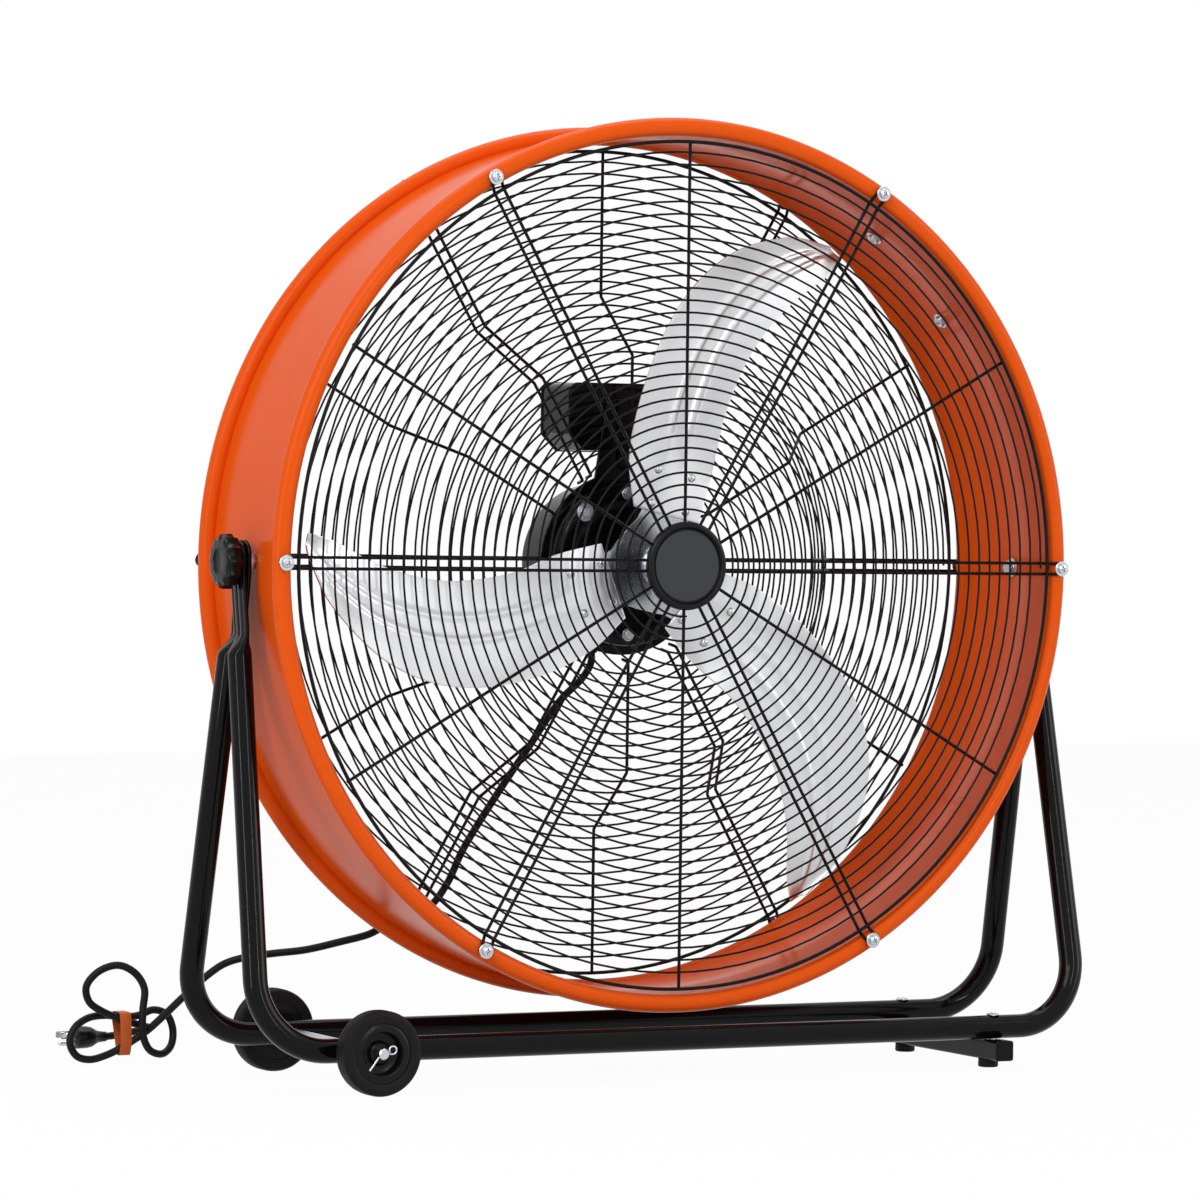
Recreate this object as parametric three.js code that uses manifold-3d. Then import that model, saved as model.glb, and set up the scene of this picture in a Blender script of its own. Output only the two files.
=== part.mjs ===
// A large drum fan that tilts between two bent tubes on a rolling stand.
// Millimetres, +X to the right seen from the front, +Y to the back, +Z up.
// The origin lies on the floor, straight below the middle of the tilt axis.

import * as THREE from 'three';
import { mergeVertices } from 'three/addons/utils/BufferGeometryUtils.js';
import Module from 'manifold-3d';

const wasm = await Module();
wasm.setup();

const { Vector2, Vector3, Matrix4 } = THREE;
const degree = Math.PI / 180;
const fullTurn = 2 * Math.PI;
const alongY = new Vector3(0, 1, 0);

// ---------------------------------------------------------------- driving sizes

const gap = 0.3;                  // between pieces that touch
const sheetRadius = 396;          // outside of the drum's sheet
const axisHeight = sheetRadius + 72;  // tilt axis and fan axis above the floor
const sheetWall = 1.5;
const beadRadius = sheetRadius + 3.5;  // middle of the rolled edge
const beadDiameter = 17;
const drumFront = -67.5;          // middle of the front bead
const drumRear = 97;              // middle of the rear bead
const drumSides = 44;             // a multiple of four, with corners at the pivots and the top

const ringRadius = sheetRadius - 10;  // outer ring of each grille
const ringWire = 1.7;             // wire radii
const spokeWire = 1.5;
const spiralWire = 1.0;
const spiralPitch = 11.2;
const spiralInner = 46;
const rearSpiralInner = 101;
const frontChordError = 4;        // how far a straight step of the spiral may cut inside its curve
const rearChordError = 6;
const weld = 0.3;                 // how deep welded wires sink into each other
const hairpinHalfWidth = 5;
const spokeInner = 30;
const dishInner = 194;            // the rear grille is flat inside this radius,
const dishOuter = 250;            // and flat outside this one
const dishPlane = 36;

const rimScrewHead = 4.6;         // radii
const rimScrewShank = 2.3;
const rimWasher = 7;

const badgeRadius = 40.5;
const badgeThickness = 6;

const shaftRadius = 6.35;
const shaftFront = -26;
const shaftRear = 68;
const bladeSheet = 1.6;
const bladeCount = 3;
const armSheet = 3;
const armReach = 98;
const hubRadius = 42;
const rivetHead = 4.2;
const rivetRise = 1.8;

const bellRadius = 77;
const bellFront = 38;
const bellRear = 50;
const plateThickness = 3;
const plateRadius = 85;
const housingRadius = 74;
const housingRear = 119;
const motorBoltCircle = 66;
const motorBoltShank = 2.6;
const motorBoltHead = 5;

const boxHalfWidth = 56;
const boxBottom = 105;            // above the fan axis
const boxTop = 168;
const boxRear = 108;
const coverThickness = 3.5;
const speedKnobRadius = 18;
const speedKnobHeight = 14;
const speedStem = 4;

const tubeRadius = 11;
const tubeSides = 12;
const footHalfDepth = 84;         // fan axis to the middle of each tube on the floor
const bottomHeight = 38;          // middle of the bottom runs and of the axle
const tabPlane = sheetRadius + 12.5;  // between the two flattened ends
const bottomHalfWidth = tabPlane + 13.9;  // middle of the legs at the bottom height
const legLean = 0.0249;           // inward for each millimetre up
const cornerRadius = 64;
const pinchHeight = axisHeight - 83;  // where the tubes start to flatten
const tabHalfThickness = 2.5;
const tabHalfWidth = 14.5;
const fluteDepth = 1.1;

const pivotShank = 4;
const pivotHead = 8;
const handKnobRadius = 24.5;
const handKnobThickness = 16.5;
const handKnobLobes = 12;
const handKnobLobeDepth = 1.3;

const axleRadius = 5;
const axleInset = 101.4;          // axle to the middle of the leg beside it
const axleX = axleInset - bottomHalfWidth;
const wheelRadius = 38;           // the same as the bottom height, so that the wheels roll
const tyreInner = 27;
const wheelWidth = 20;
const wheelClear = 10;            // between a wheel's tyre and the tube beside it
const wheelOuterFace = footHalfDepth + tubeRadius + wheelClear + wheelWidth;
const axleHalfLength = wheelOuterFace + 3;
const pinWire = 1.4;

const footInset = 94.4;           // foot bar to the middle of the leg beside it
const footX = bottomHalfWidth - footInset;
const barSize = 19;
const barHalfLength = 107;
const padHeight = 8;
const padRadius = 9.5;
const padHalfDepth = 77;
const barScrewShank = 3;
const barScrewHead = 6.5;

const handleAngle = 44.25 * degree;
const handleSpacing = 107;
const handleRise = 36;
const handleY = 10;
const handleBoltShank = 3;

const cordRadius = 3.5;

// ---------------------------------------------------------------- looks of the materials

const paint = { color: 0xe2560f, roughness: 0.25, metalness: 0.0 };
const blackEnamel = { color: 0x101112, roughness: 0.3, metalness: 0.0 };
const wireBlack = { color: 0x17181a, roughness: 0.35, metalness: 0.2 };
const aluminium = { color: 0xb9bcc0, roughness: 0.35, metalness: 1.0 };
const zincSteel = { color: 0x8f979f, roughness: 0.4, metalness: 1.0 };
const blackPlastic = { color: 0x1b1c1e, roughness: 0.5, metalness: 0.0 };
const greyPlastic = { color: 0x3b3d40, roughness: 0.4, metalness: 0.0 };
const rubber = { color: 0x141414, roughness: 0.8, metalness: 0.0 };
const cordRubber = { color: 0x1c1c1d, roughness: 0.6, metalness: 0.0 };
const tieOrange = { color: 0xb5612a, roughness: 0.6, metalness: 0.0 };

// ---------------------------------------------------------------- geometry helpers

function merged(geometry) {
  const bare = geometry.clone();
  bare.deleteAttribute('normal');
  bare.deleteAttribute('uv');
  return mergeVertices(bare, 1e-3);
}

// A manifold solid from a closed geometry, with its faces turned out.
function solidOf(geometry) {
  const shape = merged(geometry);
  const position = shape.attributes.position;
  const index = shape.index.array;
  const triangles = [];
  let volume = 0;
  const a = new Vector3();
  const b = new Vector3();
  const c = new Vector3();
  for (let i = 0; i < index.length; i += 3) {
    const [p, q, r] = [index[i], index[i + 1], index[i + 2]];
    if (p === q || q === r || r === p) continue;
    a.fromBufferAttribute(position, p);
    b.fromBufferAttribute(position, q);
    c.fromBufferAttribute(position, r);
    volume += a.dot(b.clone().cross(c));
    triangles.push([p, q, r]);
  }
  const order = volume < 0 ? [0, 2, 1] : [0, 1, 2];
  const corners = triangles.flatMap((triangle) => order.map((corner) => triangle[corner]));
  return new wasm.Manifold(new wasm.Mesh({
    numProp: 3,
    vertProperties: new Float32Array(position.array),
    triVerts: new Uint32Array(corners),
  }));
}

function geometryOf(solid) {
  const mesh = solid.getMesh();
  const geometry = new THREE.BufferGeometry();
  geometry.setAttribute('position', new THREE.BufferAttribute(new Float32Array(mesh.vertProperties), 3));
  geometry.setIndex(new THREE.BufferAttribute(new Uint32Array(mesh.triVerts), 1));
  return geometry;
}

function join(...geometries) {
  return geometryOf(geometries.map(solidOf).reduce((sum, next) => sum.add(next)));
}

function cut(geometry, ...tools) {
  return geometryOf(tools.map(solidOf).reduce((rest, tool) => rest.subtract(tool), solidOf(geometry)));
}

// A solid through rings of points, each ring with the same number of points.
function loft(rings, closed = false) {
  const sides = rings[0].length;
  const points = rings.flat();
  const triangles = [];
  const spans = closed ? rings.length : rings.length - 1;
  for (let ring = 0; ring < spans; ring += 1) {
    const here = ring * sides;
    const next = ((ring + 1) % rings.length) * sides;
    for (let side = 0; side < sides; side += 1) {
      const beside = (side + 1) % sides;
      triangles.push(here + side, here + beside, next + beside);
      triangles.push(here + side, next + beside, next + side);
    }
  }
  if (!closed) {
    for (const [start, reversed] of [[0, true], [(rings.length - 1) * sides, false]]) {
      const ring = points.slice(start, start + sides);
      const middle = ring.reduce((sum, point) => sum.add(point), new Vector3()).divideScalar(sides);
      points.push(middle);
      for (let side = 0; side < sides; side += 1) {
        const edge = [start + side, start + (side + 1) % sides];
        if (reversed) edge.reverse();
        triangles.push(...edge, points.length - 1);
      }
    }
  }
  const geometry = new THREE.BufferGeometry().setFromPoints(points);
  geometry.setIndex(triangles);
  return geometryOf(solidOf(geometry));
}

// Corner radius of a regular section that has the area of a round one.
function sectionReach(radius, sides) {
  return radius * Math.sqrt((fullTurn / sides) / Math.sin(fullTurn / sides));
}

// Wire of a given radius along a path; the section has the area of the round wire.
function wire(path, radius, sides, options = {}) {
  const { closed = false, upAt = null, phase = 0 } = options;
  const reach = sectionReach(radius, sides);
  const count = path.length;
  let normal = alongY.clone();
  const rings = path.map((point, i) => {
    const before = path[closed ? (i + count - 1) % count : Math.max(i - 1, 0)];
    const after = path[closed ? (i + 1) % count : Math.min(i + 1, count - 1)];
    const tangent = after.clone().sub(before).normalize();
    if (upAt) normal = upAt(point);
    normal = normal.clone().addScaledVector(tangent, -normal.dot(tangent)).normalize();
    const across = tangent.clone().cross(normal);
    return Array.from({ length: sides }, (_, side) => {
      const angle = phase + (side * fullTurn) / sides;
      return point.clone()
        .addScaledVector(normal, reach * Math.cos(angle))
        .addScaledVector(across, reach * Math.sin(angle));
    });
  });
  return loft(rings, closed);
}

// A solid of revolution about the Y axis from [radius, y] pairs, drawn anticlockwise.
function turned(profile, sides) {
  const points = profile.map(([radius, y]) => new Vector2(radius, y));
  return geometryOf(solidOf(new THREE.LatheGeometry(points, sides)));
}

function ringProfile(profile) {
  return [...profile, profile[0]];
}

// A plain round bar between two points.
function bar(from, to, radius, sides = 12) {
  const length = from.distanceTo(to);
  const geometry = new THREE.CylinderGeometry(radius, radius, length, sides);
  const turn = new THREE.Quaternion().setFromUnitVectors(alongY, to.clone().sub(from).normalize());
  const middle = from.clone().lerp(to, 0.5);
  return geometry.applyMatrix4(new Matrix4().compose(middle, turn, new Vector3(1, 1, 1)));
}

// A flat plate drawn as seen from the front, from frontY towards the back.
function plate(shape, depth, frontY, curveSegments = 8) {
  const geometry = new THREE.ExtrudeGeometry(shape, { depth, bevelEnabled: false, curveSegments });
  geometry.rotateX(90 * degree);
  geometry.translate(0, frontY + depth, 0);
  return geometry;
}

// Points of a path whose corners are rounded by arcs.
function rounded(corners, radius, steps) {
  const path = [corners[0]];
  for (let i = 1; i < corners.length - 1; i += 1) {
    const into = corners[i].clone().sub(corners[i - 1]).normalize();
    const out = corners[i + 1].clone().sub(corners[i]).normalize();
    const turn = into.angleTo(out);
    const inward = out.clone().addScaledVector(into, -into.dot(out)).normalize();
    const start = corners[i].clone().addScaledVector(into, -radius * Math.tan(turn / 2));
    for (let step = 0; step <= steps; step += 1) {
      const angle = (turn * step) / steps;
      path.push(start.clone()
        .addScaledVector(into, radius * Math.sin(angle))
        .addScaledVector(inward, radius * (1 - Math.cos(angle))));
    }
  }
  path.push(corners[corners.length - 1]);
  return path;
}

// A point of the drum given by radius, angle from +X towards +Z, and y.
function polar(radius, angle, y) {
  return new Vector3(radius * Math.cos(angle), y, radius * Math.sin(angle));
}

function spoke(angle, profile, offset = 0) {
  const out = polar(1, angle, 0);
  const beside = polar(1, angle + 90 * degree, 0);
  return profile.map(([radius, y]) => new Vector3(0, y, 0)
    .addScaledVector(out, radius)
    .addScaledVector(beside, offset));
}

function sixAngles(first) {
  return Array.from({ length: 6 }, (_, i) => (first + 60 * i) * degree);
}

// ---------------------------------------------------------------- the assembly

const fan = new THREE.Group();
const drum = new THREE.Group();
drum.position.set(0, 0, axisHeight);
fan.add(drum);

function add(group, name, geometry, look) {
  const mesh = new THREE.Mesh(geometry, new THREE.MeshStandardMaterial(look));
  mesh.name = name;
  group.add(mesh);
  return mesh;
}

// ---------------------------------------------------------------- drum shell

function beadArc(y, from, to, steps) {
  return Array.from({ length: steps + 1 }, (_, step) => {
    const angle = from + ((to - from) * step) / steps;
    const radius = beadDiameter / 2;
    return [beadRadius + radius * Math.cos(angle), y + radius * Math.sin(angle)];
  });
}

// Where the bead's circle meets a cylinder of the given radius.
function beadMeets(radius) {
  return Math.acos((radius - beadRadius) / (beadDiameter / 2));
}

function screwPlace(angle, y) {
  return polar(beadRadius, angle, y);
}

function handleFootAngle(side) {
  return handleAngle + side * Math.asin(handleSpacing / 2 / sheetRadius);
}

function drumShell() {
  const outer = beadMeets(sheetRadius);
  const inner = beadMeets(sheetRadius - sheetWall);
  const steps = 5;
  const profile = [
    ...beadArc(drumFront, inner, fullTurn + outer, steps),
    ...beadArc(drumRear, -outer, fullTurn - inner, steps),
  ];
  const shell = turned(ringProfile(profile), drumSides);
  const bores = [];
  const through = 6;
  for (const side of [-1, 1]) {
    const pivot = [sheetRadius - through, sheetRadius + through].map((x) => new Vector3(side * x, 0, 0));
    bores.push(bar(...pivot, pivotShank + gap, 10));
    const foot = [sheetRadius - through, sheetRadius + through]
      .map((radius) => polar(radius, handleFootAngle(side), handleY));
    bores.push(bar(...foot, handleBoltShank + gap, 8));
  }
  return cut(shell, ...bores);
}

add(drum, 'drum_shell', drumShell(), paint);

// ---------------------------------------------------------------- grilles

const spiralSides = 3;
const spiralReach = sectionReach(spiralWire, spiralSides);
const spokeSides = 3;
const spokeReach = sectionReach(spokeWire, spokeSides);
const spokeFlat = spokeReach / 2;  // the flat side of each spoke faces the rings

// Which way a grille faces: -1 for the front, 1 for the rear.
function grillePlanes(faces) {
  const bead = faces < 0 ? drumFront : drumRear;
  const ring = bead + faces * (beadDiameter / 2 - 1);
  return {
    ring,
    spokes: ring - faces * (ringWire + spokeWire - weld),
    seat: bead + faces * (beadDiameter / 2 + gap + spokeReach),
  };
}

const front = grillePlanes(-1);
const rear = grillePlanes(1);
const spiralOffset = spokeFlat + gap + spiralReach / 2;
const dishSlope = Math.atan2(rear.spokes - dishPlane, dishOuter - dishInner);

// The profile of the rear grille, moved square to itself by an offset towards the back.
function dishProfile(offset) {
  const shift = offset * Math.tan(dishSlope / 2);
  return [
    [dishInner - shift, dishPlane + offset],
    [dishOuter - shift, rear.spokes + offset],
  ];
}

function rearHeight(radius, offset) {
  const [[innerRadius, innerY], [outerRadius, outerY]] = dishProfile(offset);
  const share = THREE.MathUtils.clamp((radius - innerRadius) / (outerRadius - innerRadius), 0, 1);
  return innerY + (outerY - innerY) * share;
}

// The direction square to the rear grille's surface at a point on it.
function dishUp(point) {
  const radius = Math.hypot(point.x, point.z);
  const lean = radius > dishInner && radius < dishOuter ? dishSlope : 0;
  return polar(-Math.sin(lean), Math.atan2(point.z, point.x), Math.cos(lean));
}

// Turns a three-sided wire so that its flat side faces the front (-1) or the rear (1).
function flatTowards(faces) {
  return faces < 0 ? 0 : Math.PI;
}

// The end of a hairpin steps over the bead and loops round its screw.
function hairpin(angle, planes, faces, inner) {
  const step = planes.seat - planes.spokes;
  const leg = [
    ...inner,
    [ringRadius + 2, planes.spokes],
    [beadRadius - 7, planes.spokes + 0.62 * step],
    [beadRadius - 3, planes.seat],
  ];
  const path = spoke(angle, leg, -hairpinHalfWidth);
  const loopSteps = 3;
  for (let i = 0; i <= loopSteps; i += 1) {
    const turn = (-90 + (180 * i) / loopSteps) * degree;
    const radius = beadRadius + hairpinHalfWidth * Math.cos(turn);
    path.push(...spoke(angle, [[radius, planes.seat]], hairpinHalfWidth * Math.sin(turn)));
  }
  path.push(...spoke(angle, leg, hairpinHalfWidth).reverse());
  return wire(path, spokeWire, spokeSides, { phase: flatTowards(faces) });
}

function grilleSpokes(planes, faces, inner) {
  const ringSteps = 36;
  const ringPath = Array.from({ length: ringSteps }, (_, i) => (
    polar(ringRadius, (i * fullTurn) / ringSteps, planes.ring)));
  const parts = [wire(ringPath, ringWire, spokeSides, { closed: true, phase: flatTowards(faces) })];
  for (const angle of sixAngles(0)) {
    parts.push(hairpin(angle, planes, faces, inner));
  }
  for (const angle of sixAngles(30)) {
    const path = spoke(angle, [...inner, [ringRadius + 1, planes.spokes]]);
    parts.push(wire(path, spokeWire, spokeSides, { phase: flatTowards(faces) }));
  }
  return join(...parts);
}

// One unbroken wire that winds anticlockwise from the rim to the middle.
function spiral(innerRadius, chordError, heightAt, faces, upAt = null) {
  const outerRadius = ringRadius - ringWire - spiralWire - 4;
  const path = [];
  let radius = outerRadius;
  let angle = 0;
  while (radius > innerRadius) {
    path.push(polar(radius, angle, heightAt(radius)));
    const stepAngle = Math.sqrt((8 * chordError) / radius);
    angle += stepAngle;
    radius -= (spiralPitch * stepAngle) / fullTurn;
  }
  return wire(path, spiralWire, spiralSides, { phase: flatTowards(-faces), upAt });
}

const rearInner = [[plateRadius + 4, bellRear - 2.5], [plateRadius + 7, dishPlane]];
const rearSpokeProfile = [...rearInner, ...dishProfile(0)];

add(drum, 'front_grille_spokes', grilleSpokes(front, -1, [[spokeInner, front.spokes]]), wireBlack);
add(drum, 'front_grille_spiral', spiral(spiralInner, frontChordError, () => front.spokes - spiralOffset, -1), wireBlack);
add(drum, 'rear_grille_spokes', grilleSpokes(rear, 1, rearSpokeProfile), wireBlack);
add(drum, 'rear_grille_spiral',
  spiral(rearSpiralInner, rearChordError, (radius) => rearHeight(radius, spiralOffset), 1, dishUp), wireBlack);

// ---------------------------------------------------------------- badge and rim screws

function badge() {
  const back = front.spokes - spokeFlat - gap;
  const face = back - badgeThickness;
  const rimWidth = 5;
  const profile = [
    [0, face + 1.5],
    [badgeRadius - rimWidth - 1, face + 1.5],
    [badgeRadius - rimWidth, face],
    [badgeRadius - 2, face],
    [badgeRadius, face + 2.5],
    [badgeRadius, back],
    [0, back],
  ];
  return turned(profile, 22);
}

add(drum, 'centre_badge', badge(), greyPlastic);

// A washer and a domed head outside the hairpin's loop, with a shank into the bead.
function rimScrew(angle, planes, faces, washer, lift) {
  const under = planes.seat + faces * (spokeFlat + gap + lift);
  const bead = faces < 0 ? drumFront - beadDiameter / 2 : drumRear + beadDiameter / 2;
  const tip = Math.abs(under - bead) - gap;
  const profile = [
    [0, -tip],
    [rimScrewShank, -tip],
    [rimScrewShank, 0],
    [washer, 0],
    [washer, 1.2],
    [rimScrewHead, 4],
    [0, 4],
  ];
  const geometry = turned(profile, 5);
  if (faces < 0) geometry.rotateX(Math.PI);
  const place = screwPlace(angle, under);
  geometry.translate(place.x, place.y, place.z);
  return geometry;
}

const clipBand = 1.2;
const clipScrew = 4;              // the fifth rear screw, at 240 degrees, also holds the cord clip

for (const [i, angle] of sixAngles(0).entries()) {
  add(drum, `front_screw_${i + 1}`, rimScrew(angle, front, -1, rimWasher, 0), zincSteel);
  const holdsClip = i === clipScrew;
  const lift = holdsClip ? clipBand + gap : 0;
  const washer = holdsClip ? rimScrewHead + 0.8 : rimWasher;
  add(drum, `rear_screw_${i + 1}`, rimScrew(angle, rear, 1, washer, lift), zincSteel);
}

// ---------------------------------------------------------------- blades and their spider

const bladeDirection = 78.3 * degree;

const drawnReach = 350;           // the outline below is drawn from this root to this reach,
const drawnRoot = 47;             // and stretched to stay 46 mm inside the drum's sheet
const bladeStretch = (sheetRadius - 46 - drawnRoot) / (drawnReach - drawnRoot);

function bladeEdge(points) {
  return new THREE.SplineCurve(points.map(([u, v]) => (
    new Vector2(drawnRoot + (u - drawnRoot) * bladeStretch, v))));
}

// The blade outline in the blade's own frame: u outward along its direction, v towards larger angles.
const leadingEdge = bladeEdge([
  [47, -36], [92, -40], [150, -39.5], [213, -54], [265, -85], [300, -119], [322, -134],
]);
const trailingEdge = bladeEdge([
  [47, 36], [86, 51.5], [128, 57], [172, 55], [216, 46], [259, 27], [299, -10], [326, -68], [329, -118],
]);
// Heights of the two edges along the fan axis, from root to tip.
const leadingHeight = new THREE.SplineCurve([
  new Vector2(0, -14), new Vector2(0.5, -19), new Vector2(1, -9),
]);
const trailingHeight = new THREE.SplineCurve([
  new Vector2(0, -19), new Vector2(0.25, -31), new Vector2(0.5, -38.5), new Vector2(0.75, -36),
  new Vector2(1, -12),
]);
const bladeStations = 9;
const chordShares = [0, 0.16, 0.345, 0.45, 0.56, 0.72, 0.86, 1];
const ribShares = [0.345, 0.56];
const ribHeight = 1.6;
const bladeCamber = 4;

function bladePoint(along, across, lift = 0) {
  const lead = leadingEdge.getPoint(along);
  const trail = trailingEdge.getPoint(along);
  const flat = lead.clone().lerp(trail, across);
  const leadY = leadingHeight.getPoint(along).y;
  const trailY = trailingHeight.getPoint(along).y;
  const bow = 4 * across * (1 - across);
  const rib = ribShares.includes(across) && along > 0.2 && along < 0.9 ? ribHeight : 0;
  const y = leadY + (trailY - leadY) * across + bladeCamber * bow * Math.min(1, along * 4) - rib;
  return new Vector3(flat.x, y + lift, flat.y);
}

// Height of the blade's middle surface over a point near its root.
function rootHeight(u, v) {
  const slope = -0.055 - 0.0011 * Math.max(u - 20, 0);
  return -17.5 + slope * v;
}

function bladeSheetSolid() {
  const rings = [];
  for (let station = 0; station < bladeStations; station += 1) {
    const along = station / (bladeStations - 1);
    const flatten = THREE.MathUtils.smoothstep(along, 0.12, 0.3);
    const faceAt = (across, lift) => {
      const point = bladePoint(along, across);
      point.y = THREE.MathUtils.lerp(rootHeight(point.x, point.z), point.y, flatten) + lift;
      return point;
    };
    const frontFace = chordShares.map((across) => faceAt(across, -bladeSheet / 2));
    const rearFace = chordShares.map((across) => faceAt(across, bladeSheet / 2)).reverse();
    rings.push([...frontFace, ...rearFace]);
  }
  return loft(rings);
}

const rivetPlaces = [[54, -19], [54, 19], [86, -19], [86, 19]];

function rivetTop(u, v) {
  const face = rootHeight(u, v);
  const top = face - bladeSheet / 2 - rivetRise;
  return bar(new Vector3(u, top, v), new Vector3(u, face, v), rivetHead, 6);
}

function blade() {
  return join(bladeSheetSolid(), ...rivetPlaces.map(([u, v]) => rivetTop(u, v)));
}

// One arm of the spider, wide at its fillets to the hub and lying flat behind its blade.
function spiderArm() {
  const rows = [[0, 40], [26, 36], [36, 28], [48, 24.5], [62, 24], [90, 24], [armReach, 18]];
  const acrossSteps = [-1, 0, 1];
  const rings = rows.map(([u, half]) => {
    const at = (share, lift) => {
      const v = share * half;
      const flatten = THREE.MathUtils.smoothstep(u, 20, 48);
      const y = THREE.MathUtils.lerp(-17.5, rootHeight(u, v), flatten);
      return new Vector3(u, y + bladeSheet / 2 + gap + lift, v);
    };
    const frontFace = acrossSteps.map((share) => at(share, 0));
    const rearFace = acrossSteps.map((share) => at(share, armSheet)).reverse();
    return [...frontFace, ...rearFace];
  });
  return loft(rings);
}

function turnedAboutAxis(geometry, angle) {
  return geometry.clone().rotateY(-angle);
}

function hubSpider() {
  const armBack = -17.5 + bladeSheet / 2 + gap;
  const boss = turned(ringProfile([
    [shaftRadius + gap, -23],
    [15, -23],
    [17, armBack],
    [hubRadius, armBack],
    [hubRadius, armBack + armSheet],
    [17, armBack + armSheet],
    [15, 12],
    [shaftRadius + gap, 12],
  ]), 12);
  const arms = Array.from({ length: bladeCount }, (_, i) => turnedAboutAxis(
    cut(spiderArm(), bar(new Vector3(0, -60, 0), new Vector3(0, 60, 0), 16, 12)),
    bladeDirection + (i * fullTurn) / bladeCount));
  return join(boss, ...arms);
}

for (let i = 0; i < bladeCount; i += 1) {
  const angle = bladeDirection + (i * fullTurn) / bladeCount;
  add(drum, `blade_${i + 1}`, turnedAboutAxis(blade(), angle), aluminium);
}
add(drum, 'hub_spider', hubSpider(), zincSteel);
add(drum, 'motor_shaft', bar(new Vector3(0, shaftFront, 0), new Vector3(0, shaftRear, 0), shaftRadius, 12), zincSteel);

// ---------------------------------------------------------------- motor

const shaftBore = shaftRadius + 1;
const motorSides = 20;
const plateFront = bellRear + gap;
const plateRear = plateFront + plateThickness;
const housingFront = plateRear + gap;
const motorBoltAngles = [92, 134, 270].map((angle) => angle * degree);

function boltHoles(fromY, toY) {
  return motorBoltAngles.map((angle) => bar(
    polar(motorBoltCircle, angle, fromY - 1), polar(motorBoltCircle, angle, toY + 1), motorBoltShank + gap, 6));
}

function motorEndBell() {
  const profile = ringProfile([
    [shaftBore, bellFront - 5],
    [20, bellFront - 5],
    [24, bellFront + 3],
    [54, bellFront + 4],
    [60, bellFront],
    [bellRadius - 3, bellFront],
    [bellRadius, bellFront + 3],
    [bellRadius, bellRear],
    [shaftBore, bellRear],
  ]);
  return cut(turned(profile, motorSides), ...boltHoles(bellFront, bellRear));
}

function motorHousing() {
  const boreEnd = shaftRear + 2;
  const profile = [
    [0, boreEnd],
    [shaftBore, boreEnd],
    [shaftBore, housingFront],
    [housingRadius, housingFront],
    [housingRadius, housingRear - 9],
    [housingRadius - 3, housingRear - 3],
    [housingRadius - 9, housingRear],
    [0, housingRear],
  ];
  return turned(profile, motorSides);
}

// The mounting plate behind the end bell, with a tapering arm up to the switch box.
function motorPlate() {
  const shape = new THREE.Shape();
  const armFoot = 30;
  const armTop = 18;
  const armEnd = boxTop - 14;
  const startAngle = Math.acos(armFoot / plateRadius);
  shape.moveTo(armFoot, plateRadius * Math.sin(startAngle));
  shape.lineTo(armTop, armEnd);
  shape.lineTo(-armTop, armEnd);
  shape.lineTo(-armFoot, plateRadius * Math.sin(startAngle));
  shape.absarc(0, 0, plateRadius, Math.PI - startAngle, startAngle + fullTurn, false);
  const hole = new THREE.Path();
  hole.absarc(0, 0, 32, 0, fullTurn, true);
  shape.holes.push(hole);
  return cut(plate(shape, plateThickness, plateFront, 8), ...boltHoles(plateFront, plateRear));
}

function motorBolt(angle, washer) {
  const head = bellFront - gap;
  const end = plateRear - 0.5;
  const geometry = turned([
    [0, head - 4],
    [motorBoltHead, head - 4],
    [motorBoltHead, head - 1.2],
    [washer, head - 1.2],
    [washer, head],
    [motorBoltShank, head],
    [motorBoltShank, end],
    [0, end],
  ], 6);
  const place = polar(motorBoltCircle, angle, 0);
  geometry.translate(place.x, 0, place.z);
  return geometry;
}

add(drum, 'motor_end_bell', motorEndBell(), blackEnamel);
add(drum, 'motor_plate', motorPlate(), blackEnamel);
add(drum, 'motor_housing', motorHousing(), blackEnamel);
for (const [i, angle] of motorBoltAngles.entries()) {
  const washer = i === 1 ? motorBoltHead + 2 : motorBoltHead + 0.6;
  add(drum, `motor_bolt_${i + 1}`, motorBolt(angle, washer), zincSteel);
}

// ---------------------------------------------------------------- switch box and speed knob

function boxShape(inset) {
  const half = boxHalfWidth - inset;
  const bottom = boxBottom + inset;
  const top = boxTop - inset;
  const chamfer = 16;
  const round = 10;
  const shape = new THREE.Shape();
  shape.moveTo(-half + chamfer, bottom);
  shape.lineTo(half - chamfer, bottom);
  shape.lineTo(half, bottom + chamfer);
  shape.lineTo(half, top - round);
  shape.absarc(half - round, top - round, round, 0, 90 * degree, false);
  shape.lineTo(-half + round, top);
  shape.absarc(-half + round, top - round, round, 90 * degree, 180 * degree, false);
  shape.lineTo(-half, bottom + chamfer);
  return shape;
}

const coverFront = boxRear + gap;
const coverRear = coverFront + coverThickness;
const knobMiddle = (boxBottom + boxTop) / 2;
const stemBore = 8;

function switchBox() {
  const stemHole = bar(
    new Vector3(0, boxRear - stemBore, knobMiddle), new Vector3(0, boxRear + 1, knobMiddle), speedStem + gap, 12);
  return cut(plate(boxShape(0), boxRear - housingFront, housingFront, 4), stemHole);
}

function switchBoxCover() {
  const stemHole = bar(
    new Vector3(0, coverFront - 1, knobMiddle), new Vector3(0, coverRear + 1, knobMiddle), speedStem + gap, 12);
  return cut(plate(boxShape(-1), coverThickness, coverFront, 4), stemHole);
}

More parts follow.
